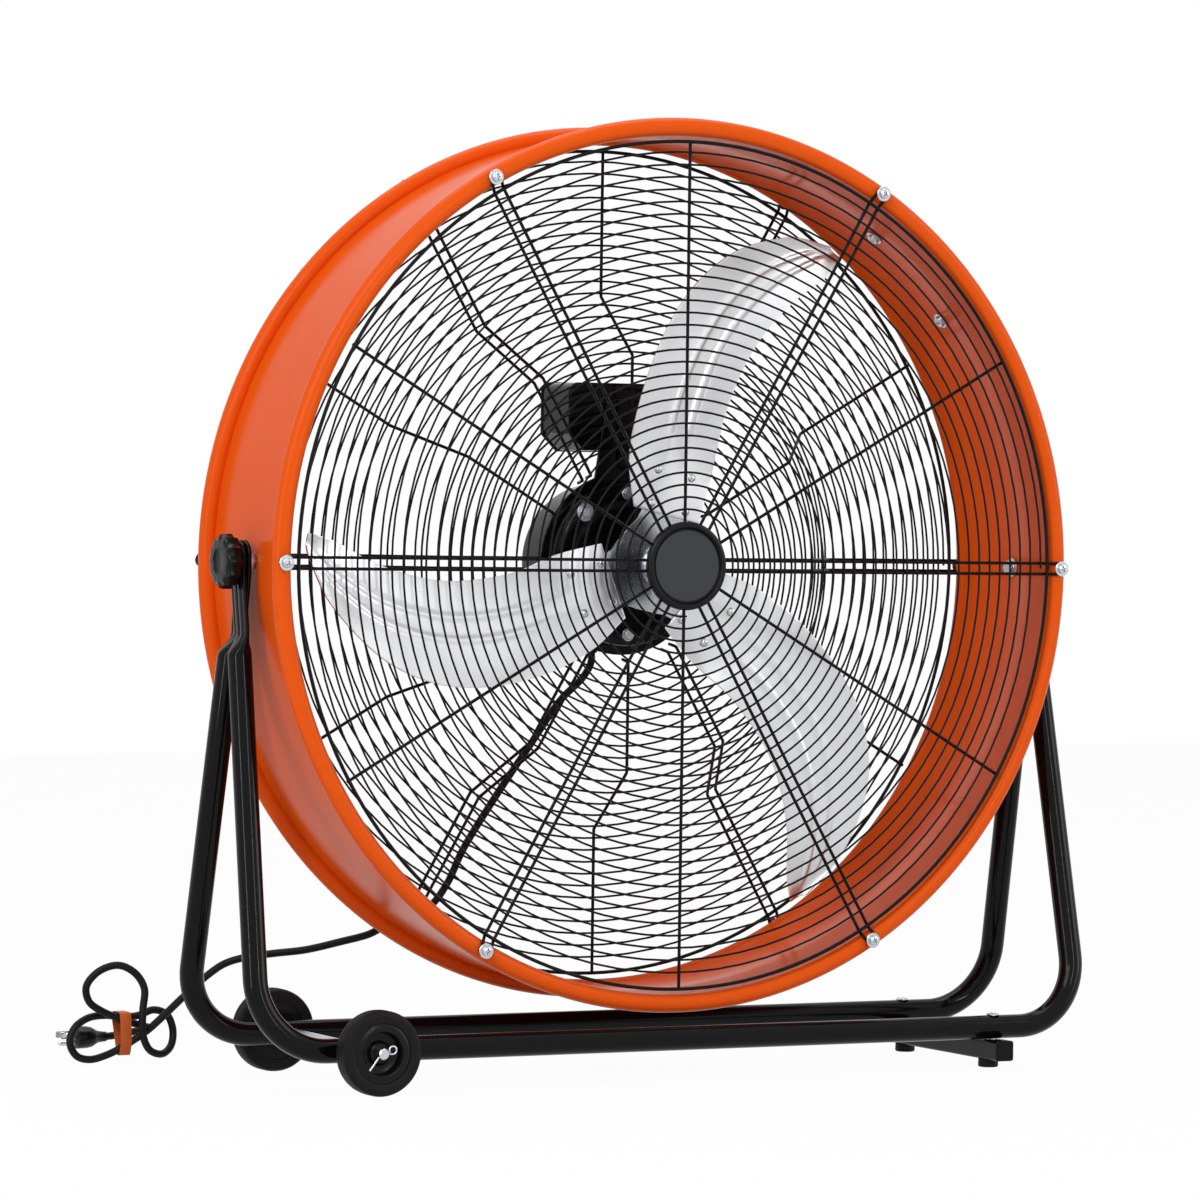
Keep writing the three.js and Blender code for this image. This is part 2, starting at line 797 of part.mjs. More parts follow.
// A round knob with a raised grip bar and a stem into the switch.
function speedKnob() {
  const base = coverRear + gap;
  const skirt = turned([
    [0, base - coverThickness - stemBore + 2],
    [speedStem, base - coverThickness - stemBore + 2],
    [speedStem, base],
    [speedKnobRadius, base],
    [speedKnobRadius, base + 4],
    [speedKnobRadius - 2, base + 6],
    [0, base + 6],
  ], 18);
  const grip = new THREE.BoxGeometry(9, speedKnobHeight - 5, 2 * speedKnobRadius - 8);
  grip.translate(0, base + 5 + (speedKnobHeight - 5) / 2, 0);
  return join(skirt, grip).translate(0, 0, knobMiddle);
}

add(drum, 'switch_box', switchBox(), blackEnamel);
add(drum, 'switch_box_cover', switchBoxCover(), blackPlastic);
add(drum, 'speed_knob', speedKnob(), blackPlastic);

// ---------------------------------------------------------------- carry handle

// A flat bar bent to a grip outside the drum, with two feet bolted to the sheet.
function carryHandle() {
  const out = polar(1, handleAngle, 0);
  const beside = polar(1, handleAngle + 90 * degree, 0);
  const at = (along, away) => new Vector3(0, handleY, 0)
    .addScaledVector(out, away)
    .addScaledVector(beside, along);
  const thick = 4;
  const lean = Math.asin(handleSpacing / 2 / sheetRadius);
  const footAway = (along) => (sheetRadius + gap + thick / 2 - Math.abs(along) * Math.sin(lean)) / Math.cos(lean);
  const footEnd = handleSpacing / 2 + 9;
  const footBend = handleSpacing / 2 - 9;
  const gripEnd = footBend - 8;
  const corners = [
    at(-footEnd, footAway(footEnd)),
    at(-footBend, footAway(footBend)),
    at(-gripEnd, sheetRadius + handleRise),
    at(gripEnd, sheetRadius + handleRise),
    at(footBend, footAway(footBend)),
    at(footEnd, footAway(footEnd)),
  ];
  const path = rounded(corners, 8, 3);
  const halfWidth = 10;
  const rings = path.map((point, i) => {
    const before = path[Math.max(i - 1, 0)];
    const after = path[Math.min(i + 1, path.length - 1)];
    const tangent = after.clone().sub(before).normalize();
    const square = tangent.clone().cross(alongY).normalize();
    return [[-1, -1], [1, -1], [1, 1], [-1, 1]].map(([y, away]) => point.clone()
      .addScaledVector(alongY, y * halfWidth)
      .addScaledVector(square, (away * thick) / 2));
  });
  const holes = [-1, 1].map((side) => {
    const angle = handleFootAngle(side);
    return bar(polar(sheetRadius - 10, angle, handleY), polar(sheetRadius + 20, angle, handleY), handleBoltShank + gap, 8);
  });
  return cut(loft(rings), ...holes);
}

// A bolt from inside the drum through the sheet and the handle's foot, with its nut outside.
function radialBolt(angle, y, sizes) {
  const { shank, head, headDepth, nut, nutFrom, nutDepth, end } = sizes;
  const inside = (sheetRadius - sheetWall) * Math.cos(Math.PI / drumSides) - gap;
  const nutEnd = nutFrom + nutDepth;
  const profile = [
    [0, inside - headDepth],
    [head * 0.8, inside - headDepth],
    [head * 0.8, inside - 1.2],
    [head * 1.15, inside - 1.2],
    [head * 1.15, inside],
    [shank, inside],
    [shank, nutFrom],
    [nut, nutFrom],
    [nut, nutEnd],
    [shank, nutEnd],
    [shank, end],
    [0, end],
  ];
  const geometry = turned(profile, 6);
  geometry.rotateZ(-90 * degree);
  geometry.rotateY(-angle);
  geometry.translate(0, y, 0);
  return geometry;
}

add(drum, 'carry_handle', carryHandle(), blackEnamel);
for (const [i, side] of [-1, 1].entries()) {
  const bolt = radialBolt(handleFootAngle(side), handleY, {
    shank: handleBoltShank, head: 7, headDepth: 5, nut: 5.5, nutFrom: sheetRadius + 7, nutDepth: 4, end: sheetRadius + 13,
  });
  add(drum, `handle_bolt_${i + 1}`, bolt, zincSteel);
}

// ---------------------------------------------------------------- pivots and hand knobs

const knobInnerFace = tabPlane + gap + 2 * tabHalfThickness + gap;
const knobOuterFace = knobInnerFace + handKnobThickness;

function handKnob(side) {
  const shape = new THREE.Shape();
  const steps = handKnobLobes * 3;
  for (let i = 0; i < steps; i += 1) {
    const angle = (i * fullTurn) / steps;
    const radius = handKnobRadius - handKnobLobeDepth * (0.5 - 0.5 * Math.cos(handKnobLobes * angle));
    const point = [radius * Math.cos(angle), radius * Math.sin(angle)];
    if (i === 0) shape.moveTo(...point);
    else shape.lineTo(...point);
  }
  const bevel = 2;
  const body = new THREE.ExtrudeGeometry(shape, {
    depth: handKnobThickness - 2 * bevel,
    bevelThickness: bevel,
    bevelSize: bevel,
    bevelOffset: -bevel,
    bevelSegments: 1,
  });
  body.translate(0, 0, bevel);
  body.rotateY(90 * degree);
  const bore = bar(new Vector3(-1, 0, 0), new Vector3(handKnobThickness - 4, 0, 0), pivotShank + gap, 10);
  const knob = cut(body, bore);
  knob.translate(knobInnerFace, 0, 0);
  if (side < 0) knob.rotateY(Math.PI);
  return knob;
}

for (const [name, side] of [['left', -1], ['right', 1]]) {
  const bolt = radialBolt(side < 0 ? Math.PI : 0, 0, {
    shank: pivotShank,
    head: pivotHead,
    headDepth: 7,
    nut: pivotHead,
    nutFrom: sheetRadius + gap,
    nutDepth: tabPlane - gap - 2 * tabHalfThickness - sheetRadius - 2 * gap,
    end: knobOuterFace - 4 - 2,
  });
  add(drum, `pivot_bolt_${name}`, bolt, zincSteel);
  add(drum, `knob_${name}`, handKnob(side), blackPlastic);
}

// ---------------------------------------------------------------- stand tubes

const legSpread = (footHalfDepth - tubeRadius - gap) / (pinchHeight - bottomHeight);

// Section of a tube: round at 0 and flattened with three flutes at 1.
function tubeSection(flat, halfThickness, halfWidth) {
  return Array.from({ length: tubeSides }, (_, i) => {
    const angle = (i * fullTurn) / tubeSides;
    const outward = Math.cos(angle);
    const steps = i <= tubeSides / 2 ? i : i - tubeSides;
    const fold = Math.abs(steps) > tubeSides / 4 ? Math.sign(steps) * tubeSides / 2 - steps : steps;
    const flatAcross = fold / (tubeSides / 4);
    const flute = Math.abs(steps) < tubeSides / 4 && steps % 2 === 0 ? fluteDepth : 0;
    const flatOut = Math.abs(steps) === tubeSides / 4 ? 0 : Math.sign(outward) * halfThickness - flute;
    return [
      THREE.MathUtils.lerp(outward * tubeRadius, flatOut, flat),
      THREE.MathUtils.lerp(Math.sin(angle) * tubeRadius, flatAcross * halfWidth, flat),
    ];
  });
}

function legX(z) {
  return bottomHalfWidth - legLean * (z - bottomHeight);
}

// A bent tube: one flattened end, down a leg, along the floor, and up to the other end.
function standTube(side) {
  const tabShift = -side * (gap / 2 + 0.1 + tabHalfThickness);
  const legAt = (across, z) => new Vector3(across * legX(z), side * (footHalfDepth - legSpread * (z - bottomHeight)), z);
  const stations = [
    { z: pinchHeight + 15, flat: 1, width: tubeRadius - 0.2, y: tubeRadius + gap },
    { z: pinchHeight + 34, flat: 1, width: tabHalfWidth, y: 0 },
    { z: axisHeight + 8, flat: 1, width: tabHalfWidth, y: 0 },
    { z: axisHeight + 15, flat: 1, width: tabHalfWidth * 0.75, y: 0 },
    { z: axisHeight + 19, flat: 1, width: tabHalfWidth * 0.35, y: 0 },
  ];
  const tab = (across) => stations.map((station) => {
    const centre = new Vector3(across * (tabPlane + tabShift), side * station.y, station.z);
    return tubeSection(station.flat, tabHalfThickness, station.width).map(([out, beside]) => centre.clone()
      .add(new Vector3(across * out, beside, 0)));
  });
  const path = rounded([
    legAt(-1, pinchHeight), legAt(-1, bottomHeight), legAt(1, bottomHeight), legAt(1, pinchHeight),
  ], cornerRadius, 3);
  const round = path.map((point, i) => {
    const before = path[Math.max(i - 1, 0)];
    const after = path[Math.min(i + 1, path.length - 1)];
    const tangent = after.clone().sub(before).normalize();
    if (i === 0 || i === path.length - 1) tangent.set(0, 0, i === 0 ? -1 : 1);
    const outward = alongY.clone().cross(tangent).normalize();
    const beside = tangent.clone().cross(outward);
    return tubeSection(0, 0, 0).map(([out, across]) => point.clone()
      .addScaledVector(outward, out)
      .addScaledVector(beside, across));
  });
  const tube = loft([...tab(-1).reverse(), ...round, ...tab(1)]);
  const bores = [-1, 1].map((across) => bar(
    new Vector3(across * (tabPlane - 12), 0, axisHeight),
    new Vector3(across * (tabPlane + 12), 0, axisHeight), pivotShank + gap, 10));
  const inside = side * (footHalfDepth - 2 * tubeRadius);
  const outside = side * (footHalfDepth + 2 * tubeRadius);
  bores.push(bar(
    new Vector3(axleX, inside, bottomHeight), new Vector3(axleX, outside, bottomHeight), axleRadius + gap, 12));
  bores.push(bar(
    new Vector3(footX, side * footHalfDepth, 0),
    new Vector3(footX, side * footHalfDepth, 2 * bottomHeight), barScrewShank + gap, 8));
  return cut(tube, ...bores);
}

add(fan, 'front_tube', standTube(-1), blackEnamel);
add(fan, 'rear_tube', standTube(1), blackEnamel);

// ---------------------------------------------------------------- foot bar

const barTop = bottomHeight - tubeRadius - gap;
const barBottom = barTop - barSize;

function footBar() {
  const half = barSize / 2;
  const round = 2.5;
  const shape = new THREE.Shape();
  shape.moveTo(-half + round, -half);
  for (const [x, z, start] of [[1, -1, -90], [1, 1, 0], [-1, 1, 90], [-1, -1, 180]]) {
    shape.absarc(x * (half - round), z * (half - round), round, start * degree, (start + 90) * degree, false);
  }
  const body = plate(shape, 2 * barHalfLength, -barHalfLength, 2);
  body.translate(footX, 0, (barTop + barBottom) / 2);
  const holes = [-1, 1].flatMap((side) => [
    bar(new Vector3(footX, side * footHalfDepth, barTop - 12), new Vector3(footX, side * footHalfDepth, barTop + 1),
      barScrewShank + gap, 8),
    bar(new Vector3(footX, side * padHalfDepth, barBottom - 1), new Vector3(footX, side * padHalfDepth, barBottom + 5),
      barScrewShank + gap, 8),
  ]);
  return cut(body, ...holes);
}

function footPad() {
  const profile = [
    [0, 0],
    [padRadius - 1.5, 0],
    [padRadius, 1.5],
    [padRadius, barBottom - gap],
    [barScrewShank, barBottom - gap],
    [barScrewShank, barBottom + 4],
    [0, barBottom + 4],
  ];
  return turned(profile, 12).rotateX(90 * degree);
}

// A pan-head screw down through the tube into the foot bar, on a saddle washer.
function barScrew() {
  const top = bottomHeight + tubeRadius + gap;
  const profile = [
    [0, barTop - 10],
    [barScrewShank, barTop - 10],
    [barScrewShank, top],
    [barScrewHead, top],
    [barScrewHead, top + 2],
    [barScrewHead * 0.6, top + 4.5],
    [0, top + 4.5],
  ];
  return turned(profile, 8).rotateX(90 * degree);
}

add(fan, 'foot_bar', footBar(), blackEnamel);
for (const [name, side] of [['front', -1], ['rear', 1]]) {
  add(fan, `foot_pad_${name}`, footPad(), rubber).position.set(footX, side * padHalfDepth, 0);
  add(fan, `bar_screw_${name}`, barScrew(), zincSteel).position.set(footX, side * footHalfDepth, 0);
}

// ---------------------------------------------------------------- axle and wheels

const pinY = wheelOuterFace - 2;
const pinAngle = -30 * degree;
const wheelSides = 16;

function axle() {
  const rod = bar(new Vector3(0, -axleHalfLength, 0), new Vector3(0, axleHalfLength, 0), axleRadius, 12);
  const holes = [-1, 1].map((side) => bar(
    new Vector3(-8, side * pinY, 0).applyAxisAngle(alongY, pinAngle),
    new Vector3(8, side * pinY, 0).applyAxisAngle(alongY, pinAngle), pinWire + gap + 0.2, 6));
  return cut(rod, ...holes).translate(axleX, 0, bottomHeight);
}

function tyre() {
  const inner = wheelOuterFace - wheelWidth;
  const groove = 1.6;
  const profile = ringProfile([
    [tyreInner, inner],
    [wheelRadius - 1.5, inner],
    [wheelRadius, inner + 6],
    [wheelRadius - groove, inner + 7],
    [wheelRadius, inner + 8],
    [wheelRadius, inner + 12],
    [wheelRadius - groove, inner + 13],
    [wheelRadius, inner + 14],
    [wheelRadius, inner + 17],
    [wheelRadius - 3, wheelOuterFace],
    [tyreInner, wheelOuterFace - 1],
  ]);
  return turned(profile, wheelSides);
}

function wheelHub() {
  const inner = footHalfDepth + tubeRadius + gap;
  const dishDepth = 10;
  const bore = axleRadius + gap;
  const profile = ringProfile([
    [bore, inner],
    [10, inner],
    [11, wheelOuterFace - wheelWidth + 4],
    [tyreInner - gap, wheelOuterFace - wheelWidth + 2],
    [tyreInner - gap, wheelOuterFace - 1],
    [20, wheelOuterFace],
    [18, wheelOuterFace - dishDepth],
    [11, wheelOuterFace - dishDepth],
    [9.5, wheelOuterFace - dishDepth + 4],
    [bore, wheelOuterFace - dishDepth + 4],
  ]);
  return turned(profile, wheelSides);
}

// A split pin: a leg through the axle, with its eye outside.
function splitPin() {
  const path = [new Vector3(-16, 0, 0), new Vector3(7, 0, 0)];
  for (let i = 1; i <= 5; i += 1) {
    const angle = (-90 + 54 * i) * degree;
    path.push(new Vector3(7 + 5 * Math.cos(angle), 0, 5 + 5 * Math.sin(angle)));
  }
  return wire(path, pinWire, 5).rotateY(pinAngle);
}

add(fan, 'axle', axle(), zincSteel);
for (const [name, side] of [['front', -1], ['rear', 1]]) {
  for (const [piece, geometry, look] of [['tyre', tyre(), rubber], ['wheel', wheelHub(), blackPlastic]]) {
    if (side < 0) geometry.rotateX(Math.PI);
    add(fan, `${piece}_${name}`, geometry, look).position.set(axleX, 0, bottomHeight);
  }
  add(fan, `split_pin_${name}`, splitPin(), zincSteel).position.set(axleX, side * pinY, bottomHeight);
}

// ---------------------------------------------------------------- cord

const cordSides = 8;
const clipCentre = screwPlace(240 * degree, 0).add(new Vector3(2.65, 0, 10.97715));
const clipY = rear.seat + spokeFlat + 2 * gap + clipBand + 2 * gap + cordRadius;
const clipWidth = 9;
const clipDirection = new Vector3(-0.97, 0, -0.23).normalize();
const glandPlace = new Vector3(-14, 0, -84);
const glandY = 84;

function cableGland() {
  const body = turned([
    [0, 0],
    [5, 0],
    [5.6, 2],
    [8, 2.5],
    [8, 18],
    [0, 18],
  ], 12).rotateX(90 * degree);
  body.translate(glandPlace.x, glandY, glandPlace.z);
  const motor = bar(
    new Vector3(0, housingFront - 5, 0), new Vector3(0, housingRear + 5, 0), housingRadius + gap, 40);
  return cut(body, motor);
}

function cordTube(points, steps, sides) {
  const section = new THREE.Shape();
  for (let i = 0; i < sides; i += 1) {
    const angle = (i * fullTurn) / sides;
    const point = [cordRadius * Math.cos(angle), cordRadius * Math.sin(angle)];
    if (i === 0) section.moveTo(...point);
    else section.lineTo(...point);
  }
  const route = new THREE.CatmullRomCurve3(points, false, 'centripetal');
  return new THREE.ExtrudeGeometry(section, { steps, bevelEnabled: false, extrudePath: route });
}

// From the gland down the back of the rear grille to the clip on the rim.
const heldCord = [
  [-14, 84, -84.3], [-14, 84.5, -93], [-20, 89, -107], [-39, 98, -129], [-66, 106, -171],
  [-95, 110, -213], [-132, 110.6, -268],
].map(([x, y, z]) => new Vector3(x, y, z));
const clipPoint = new Vector3(clipCentre.x, clipY, clipCentre.z);
heldCord.push(...[
  [50.1, 110.8, 37], [36.1, 111.8, 18], [23.1, 114.8, 8.4],
].map(([aside, y, above]) => new Vector3(clipPoint.x + aside, y, clipPoint.z + above)));
heldCord.push(clipPoint.clone().addScaledVector(clipDirection, -clipWidth / 2 - 5));
heldCord.push(clipPoint.clone());
heldCord.push(clipPoint.clone().addScaledVector(clipDirection, clipWidth / 2));

// A band round the cord with an ear under the head of the rim screw.
function cordClip() {
  const start = clipPoint.clone().addScaledVector(clipDirection, -clipWidth / 2);
  const end = clipPoint.clone().addScaledVector(clipDirection, clipWidth / 2);
  const beyond = clipDirection.clone();
  const screw = screwPlace(240 * degree, 0);
  const ear = rear.seat + spokeFlat + gap;
  const earShape = bar(
    new Vector3(screw.x, ear, screw.z), new Vector3(screw.x, ear + clipBand, screw.z), 6, 12);
  const towards = new Vector3(screw.x - clipPoint.x, 0, screw.z - clipPoint.z);
  const neck = new THREE.BoxGeometry(clipWidth, clipBand, towards.length());
  neck.rotateY(Math.atan2(towards.x, towards.z));
  neck.translate(clipPoint.x + towards.x / 2, ear + clipBand / 2, clipPoint.z + towards.z / 2);
  const band = bar(start, end, cordRadius + 2 * gap + clipBand, 12);
  const bore = bar(start.clone().sub(beyond), end.clone().add(beyond), cordRadius + 2 * gap, 12);
  const hole = bar(
    new Vector3(screw.x, ear - 5, screw.z), new Vector3(screw.x, ear + 5, screw.z), rimScrewShank + gap, 8);
  return cut(join(band, neck, earShape), bore, hole);
}

add(drum, 'cable_gland', cableGland(), blackPlastic);
add(drum, 'cord_on_grille', cordTube(heldCord, 15, cordSides), cordRubber);
add(drum, 'cord_clip', cordClip(), zincSteel);

// The free lead falls from the clip to the floor behind the left wheel.
const leadStart = clipPoint.clone().addScaledVector(clipDirection, clipWidth / 2 + gap);
leadStart.z += axisHeight;
const leadPoints = [
  leadStart,
  leadStart.clone().addScaledVector(clipDirection, 8),
  ...[
    [-224, 117, 123], [-249, 125, 116], [-278, 140, 108], [-305, 155, 104], [-328, 166, 100],
    [-344, 175, 94], [-357, 184, 83], [-374, 194, 65], [-390, 205, 46],
  ].map(([x, y, z]) => new Vector3(x, y, z)),
];

add(fan, 'cord_lead', cordTube(leadPoints, 15, cordSides), cordRubber);

// The tied loops stand on the floor: a low loop, a right one, an upper one and the turn to the plug.
const bundlePoints = [
  [-390.2, 205.2, 45.7], [-404, 213, 31], [-420, 219, 19], [-439, 222, 9], [-457, 224, 4.5],
  [-469, 226, 8], [-475, 228, 20], [-470, 230, 33], [-456, 232, 42], [-438, 233, 44],
  [-422, 233, 42], [-406, 232, 43], [-391, 230, 48], [-380, 226, 44], [-376, 220, 31],
  [-380, 214, 16], [-391, 209, 9], [-404, 207, 13], [-411, 207, 27], [-411, 208, 50],
  [-409, 210, 70], [-417, 213, 84], [-432, 217, 91.5], [-450, 221, 86], [-461, 224, 72],
  [-458, 224, 58], [-446, 222, 49], [-432, 221, 43], [-418, 220, 38], [-404, 222, 34],
  [-394, 232, 31], [-392, 247, 28], [-400, 260, 25], [-414, 265, 22], [-424, 265.5, 21],
].map(([x, y, z]) => new Vector3(x, y, z));
const bundleRoute = new THREE.CatmullRomCurve3(bundlePoints, false, 'centripetal');
const bundleSteps = 63;
const bundlePath = bundleRoute.getSpacedPoints(bundleSteps);

// Least distance between parts of a path that are far apart along it, less the cord.
function leastSelfGap(path, radius) {
  let least = Infinity;
  const steps = [0];
  for (let i = 1; i < path.length; i += 1) steps.push(steps[i - 1] + path[i].distanceTo(path[i - 1]));
  for (let i = 0; i < path.length; i += 1) {
    for (let j = i + 1; j < path.length; j += 1) {
      if (steps[j] - steps[i] < 6 * radius) continue;
      least = Math.min(least, path[i].distanceTo(path[j]) - 2 * radius);
    }
  }
  return least;
}

console.log(`least gap of the tied cord to itself: ${leastSelfGap(
  bundleRoute.getSpacedPoints(4 * bundleSteps), cordRadius).toFixed(2)} mm`);
add(fan, 'cord_bundle', wire(bundlePath, cordRadius, 6), cordRubber);

// ---------------------------------------------------------------- tie and plug

const tieStart = bundlePoints[0].x - 39.8;
const tieWidth = 11;
const tieBand = 1.2;

// A flat band drawn round the strands that run side by side through it.
function cordTie() {
  const strands = bundleRoute.getSpacedPoints(4 * bundleSteps).filter(({ x, y, z }) => (
    x > tieStart - 4 && x < tieStart + tieWidth + 4 && y < 240 && z < 60));
  const corners = 8;
  const outline = (clear) => convexOutline(strands.flatMap(({ y, z }) => (
    Array.from({ length: corners }, (_, i) => {
      const angle = (i * fullTurn) / corners;
      return new Vector2(y + clear * Math.cos(angle), z + clear * Math.sin(angle));
    }))));
  const inner = sectionReach(cordRadius, 6) + 2 * gap;
  const shape = new THREE.Shape(outline(inner + tieBand));
  shape.holes.push(new THREE.Path(outline(inner)));
  const band = new THREE.ExtrudeGeometry(shape, { depth: tieWidth, bevelEnabled: false });
  band.applyMatrix4(new Matrix4().makeBasis(
    new Vector3(0, 1, 0), new Vector3(0, 0, 1), new Vector3(1, 0, 0)));
  band.translate(tieStart, 0, 0);
  return geometryOf(solidOf(band));
}

// The convex outline round a set of points, anticlockwise.
function convexOutline(points) {
  const sorted = [...points].sort((a, b) => a.x - b.x || a.y - b.y);
  const half = (list) => {
    const chain = [];
    for (const point of list) {
      while (chain.length > 1) {
        const [a, b] = chain.slice(-2);
        const turn = (b.x - a.x) * (point.y - a.y) - (b.y - a.y) * (point.x - a.x);
        if (turn > 0) break;
        chain.pop();
      }
      chain.push(point);
    }
    chain.pop();
    return chain;
  };
  return [...half(sorted), ...half(sorted.reverse())];
}

// A moulded plug with two flat pins and a round one.
function plug() {
  const bodyLength = 30;
  const body = loft([[0, 5, 5], [6, 7.5, 6], [12, 12, 9.5], [bodyLength, 13, 10.5], [bodyLength + 1, 12, 9.5]]
    .map(([x, halfY, halfZ]) => Array.from({ length: 12 }, (_, i) => {
      const angle = (i * fullTurn) / 12;
      return new Vector3(-x, halfY * Math.cos(angle), halfZ * Math.sin(angle));
    })));
  const pins = [-6.35, 6.35].map((y) => {
    const pin = new THREE.BoxGeometry(16.5, 1.5, 6.3);
    pin.translate(-bodyLength - 6.5, y, 2.5);
    return pin;
  });
  const earth = bar(new Vector3(-bodyLength + 2, 0, -5), new Vector3(-bodyLength - 17, 0, -5), 2.4, 8);
  return join(body, ...pins, earth);
}

add(fan, 'cord_tie', cordTie(), tieOrange);
const plugMesh = add(fan, 'plug', plug(), blackPlastic);
plugMesh.position.copy(bundlePoints[bundlePoints.length - 1]);
plugMesh.position.x -= gap + 0.1;

export default fan;
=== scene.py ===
import math

import bmesh
import bpy
from bpy.props import (BoolProperty, FloatProperty, FloatVectorProperty, IntProperty,
                       PointerProperty)
from mathutils import Matrix, Vector


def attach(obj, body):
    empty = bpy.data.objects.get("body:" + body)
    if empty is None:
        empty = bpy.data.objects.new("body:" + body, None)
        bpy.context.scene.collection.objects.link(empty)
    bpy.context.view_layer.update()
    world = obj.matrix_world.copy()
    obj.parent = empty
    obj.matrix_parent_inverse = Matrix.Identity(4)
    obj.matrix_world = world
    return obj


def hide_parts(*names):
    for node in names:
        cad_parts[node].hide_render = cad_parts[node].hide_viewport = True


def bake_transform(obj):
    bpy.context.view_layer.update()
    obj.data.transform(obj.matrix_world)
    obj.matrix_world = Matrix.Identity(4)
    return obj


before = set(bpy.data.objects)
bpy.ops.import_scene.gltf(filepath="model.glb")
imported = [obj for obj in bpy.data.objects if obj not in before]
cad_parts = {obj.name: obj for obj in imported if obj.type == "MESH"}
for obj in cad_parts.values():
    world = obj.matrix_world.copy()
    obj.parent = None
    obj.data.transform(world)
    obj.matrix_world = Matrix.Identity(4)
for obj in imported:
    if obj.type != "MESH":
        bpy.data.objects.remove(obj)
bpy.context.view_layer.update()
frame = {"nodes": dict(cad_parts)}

bl_info = {
    "name": "Drum Fan Builder",
    "version": (1, 0, 0),
    "blender": (4, 5, 0),
    "location": "View3D > Sidebar > Drum Fan",
    "description": "Builds the pieces, finishes and studio of a tilting drum fan on a rolling stand",
    "category": "Object",
}

MM = 0.001

# The route of the loose cord, in metres: down from the clip, then round the tied loops.
LEAD_ROUTE = [
    (-0.2018, 0.1152, 0.1319), (-0.2096, 0.1152, 0.1300), (-0.224, 0.117, 0.123),
    (-0.249, 0.125, 0.116), (-0.278, 0.140, 0.108), (-0.305, 0.155, 0.104),
    (-0.328, 0.166, 0.100), (-0.344, 0.175, 0.094), (-0.357, 0.184, 0.083),
    (-0.374, 0.194, 0.065), (-0.390, 0.205, 0.046),
]
BUNDLE_ROUTE = [
    (-0.404, 0.213, 0.031), (-0.420, 0.219, 0.019), (-0.439, 0.222, 0.009),
    (-0.457, 0.224, 0.0045), (-0.469, 0.226, 0.008), (-0.475, 0.228, 0.020),
    (-0.470, 0.230, 0.033), (-0.456, 0.232, 0.042), (-0.438, 0.233, 0.044),
    (-0.422, 0.233, 0.042), (-0.406, 0.232, 0.043), (-0.391, 0.230, 0.048),
    (-0.380, 0.226, 0.044), (-0.376, 0.220, 0.031), (-0.380, 0.214, 0.016),
    (-0.391, 0.209, 0.009), (-0.404, 0.207, 0.013), (-0.411, 0.207, 0.027),
    (-0.411, 0.208, 0.050), (-0.409, 0.210, 0.070), (-0.417, 0.213, 0.084),
    (-0.432, 0.217, 0.0915), (-0.450, 0.221, 0.086), (-0.461, 0.224, 0.072),
    (-0.458, 0.224, 0.058), (-0.446, 0.222, 0.049), (-0.432, 0.221, 0.043),
    (-0.418, 0.220, 0.038), (-0.404, 0.222, 0.034), (-0.394, 0.232, 0.031),
    (-0.392, 0.247, 0.028), (-0.400, 0.260, 0.025), (-0.414, 0.265, 0.022),
    (-0.424, 0.2655, 0.021),
]
HELD_ROUTE = [
    (-0.014, 0.084, 0.3837), (-0.014, 0.0845, 0.375), (-0.020, 0.089, 0.361),
    (-0.039, 0.098, 0.339), (-0.066, 0.106, 0.297), (-0.095, 0.110, 0.255),
    (-0.132, 0.1106, 0.200), (-0.147, 0.1108, 0.170), (-0.161, 0.1118, 0.151),
    (-0.174, 0.1148, 0.1414), (-0.1879, 0.1153, 0.1352), (-0.1971, 0.1153, 0.1330),
    (-0.2015, 0.1153, 0.1320),
]


# ---------------------------------------------------------------- settings

class DrumFanDrum(bpy.types.PropertyGroup):
    """Sizes of the drum and its grilles"""
    axis_height: FloatProperty(
        name="Axis Height", description="Tilt axis above the floor",
        default=0.468, unit="LENGTH")
    sheet_radius: FloatProperty(
        name="Sheet Radius", description="Outside radius of the rolled sheet",
        default=0.396, unit="LENGTH")
    sheet_wall: FloatProperty(
        name="Sheet Thickness", description="Thickness of the rolled sheet",
        default=0.0015, unit="LENGTH")
    bead_ring: FloatProperty(
        name="Bead Ring Radius", description="Radius of the middle of each rolled edge",
        default=0.3995, unit="LENGTH")
    bead_radius: FloatProperty(
        name="Bead Radius", description="Radius of the rolled edge's section",
        default=0.0085, unit="LENGTH")
    front_bead: FloatProperty(
        name="Front Bead", description="Place of the front bead along the fan axis",
        default=-0.0675, unit="LENGTH")
    rear_bead: FloatProperty(
        name="Rear Bead", description="Place of the rear bead along the fan axis",
        default=0.097, unit="LENGTH")
    ring_radius: FloatProperty(
        name="Grille Ring Radius", description="Radius of the outer wire of each grille",
        default=0.386, unit="LENGTH")
    spoke_wire: FloatProperty(
        name="Spoke Wire", description="Radius of the spoke wires",
        default=0.0015, unit="LENGTH")
    spiral_wire: FloatProperty(
        name="Spiral Wire", description="Radius of the spiral wire",
        default=0.001, unit="LENGTH")
    spiral_pitch: FloatProperty(
        name="Spiral Pitch", description="Distance between turns of the spiral wire",
        default=0.0112, unit="LENGTH")
    badge_radius: FloatProperty(
        name="Badge Radius", description="Outside radius of the badge's bezel",
        default=0.0405, unit="LENGTH")


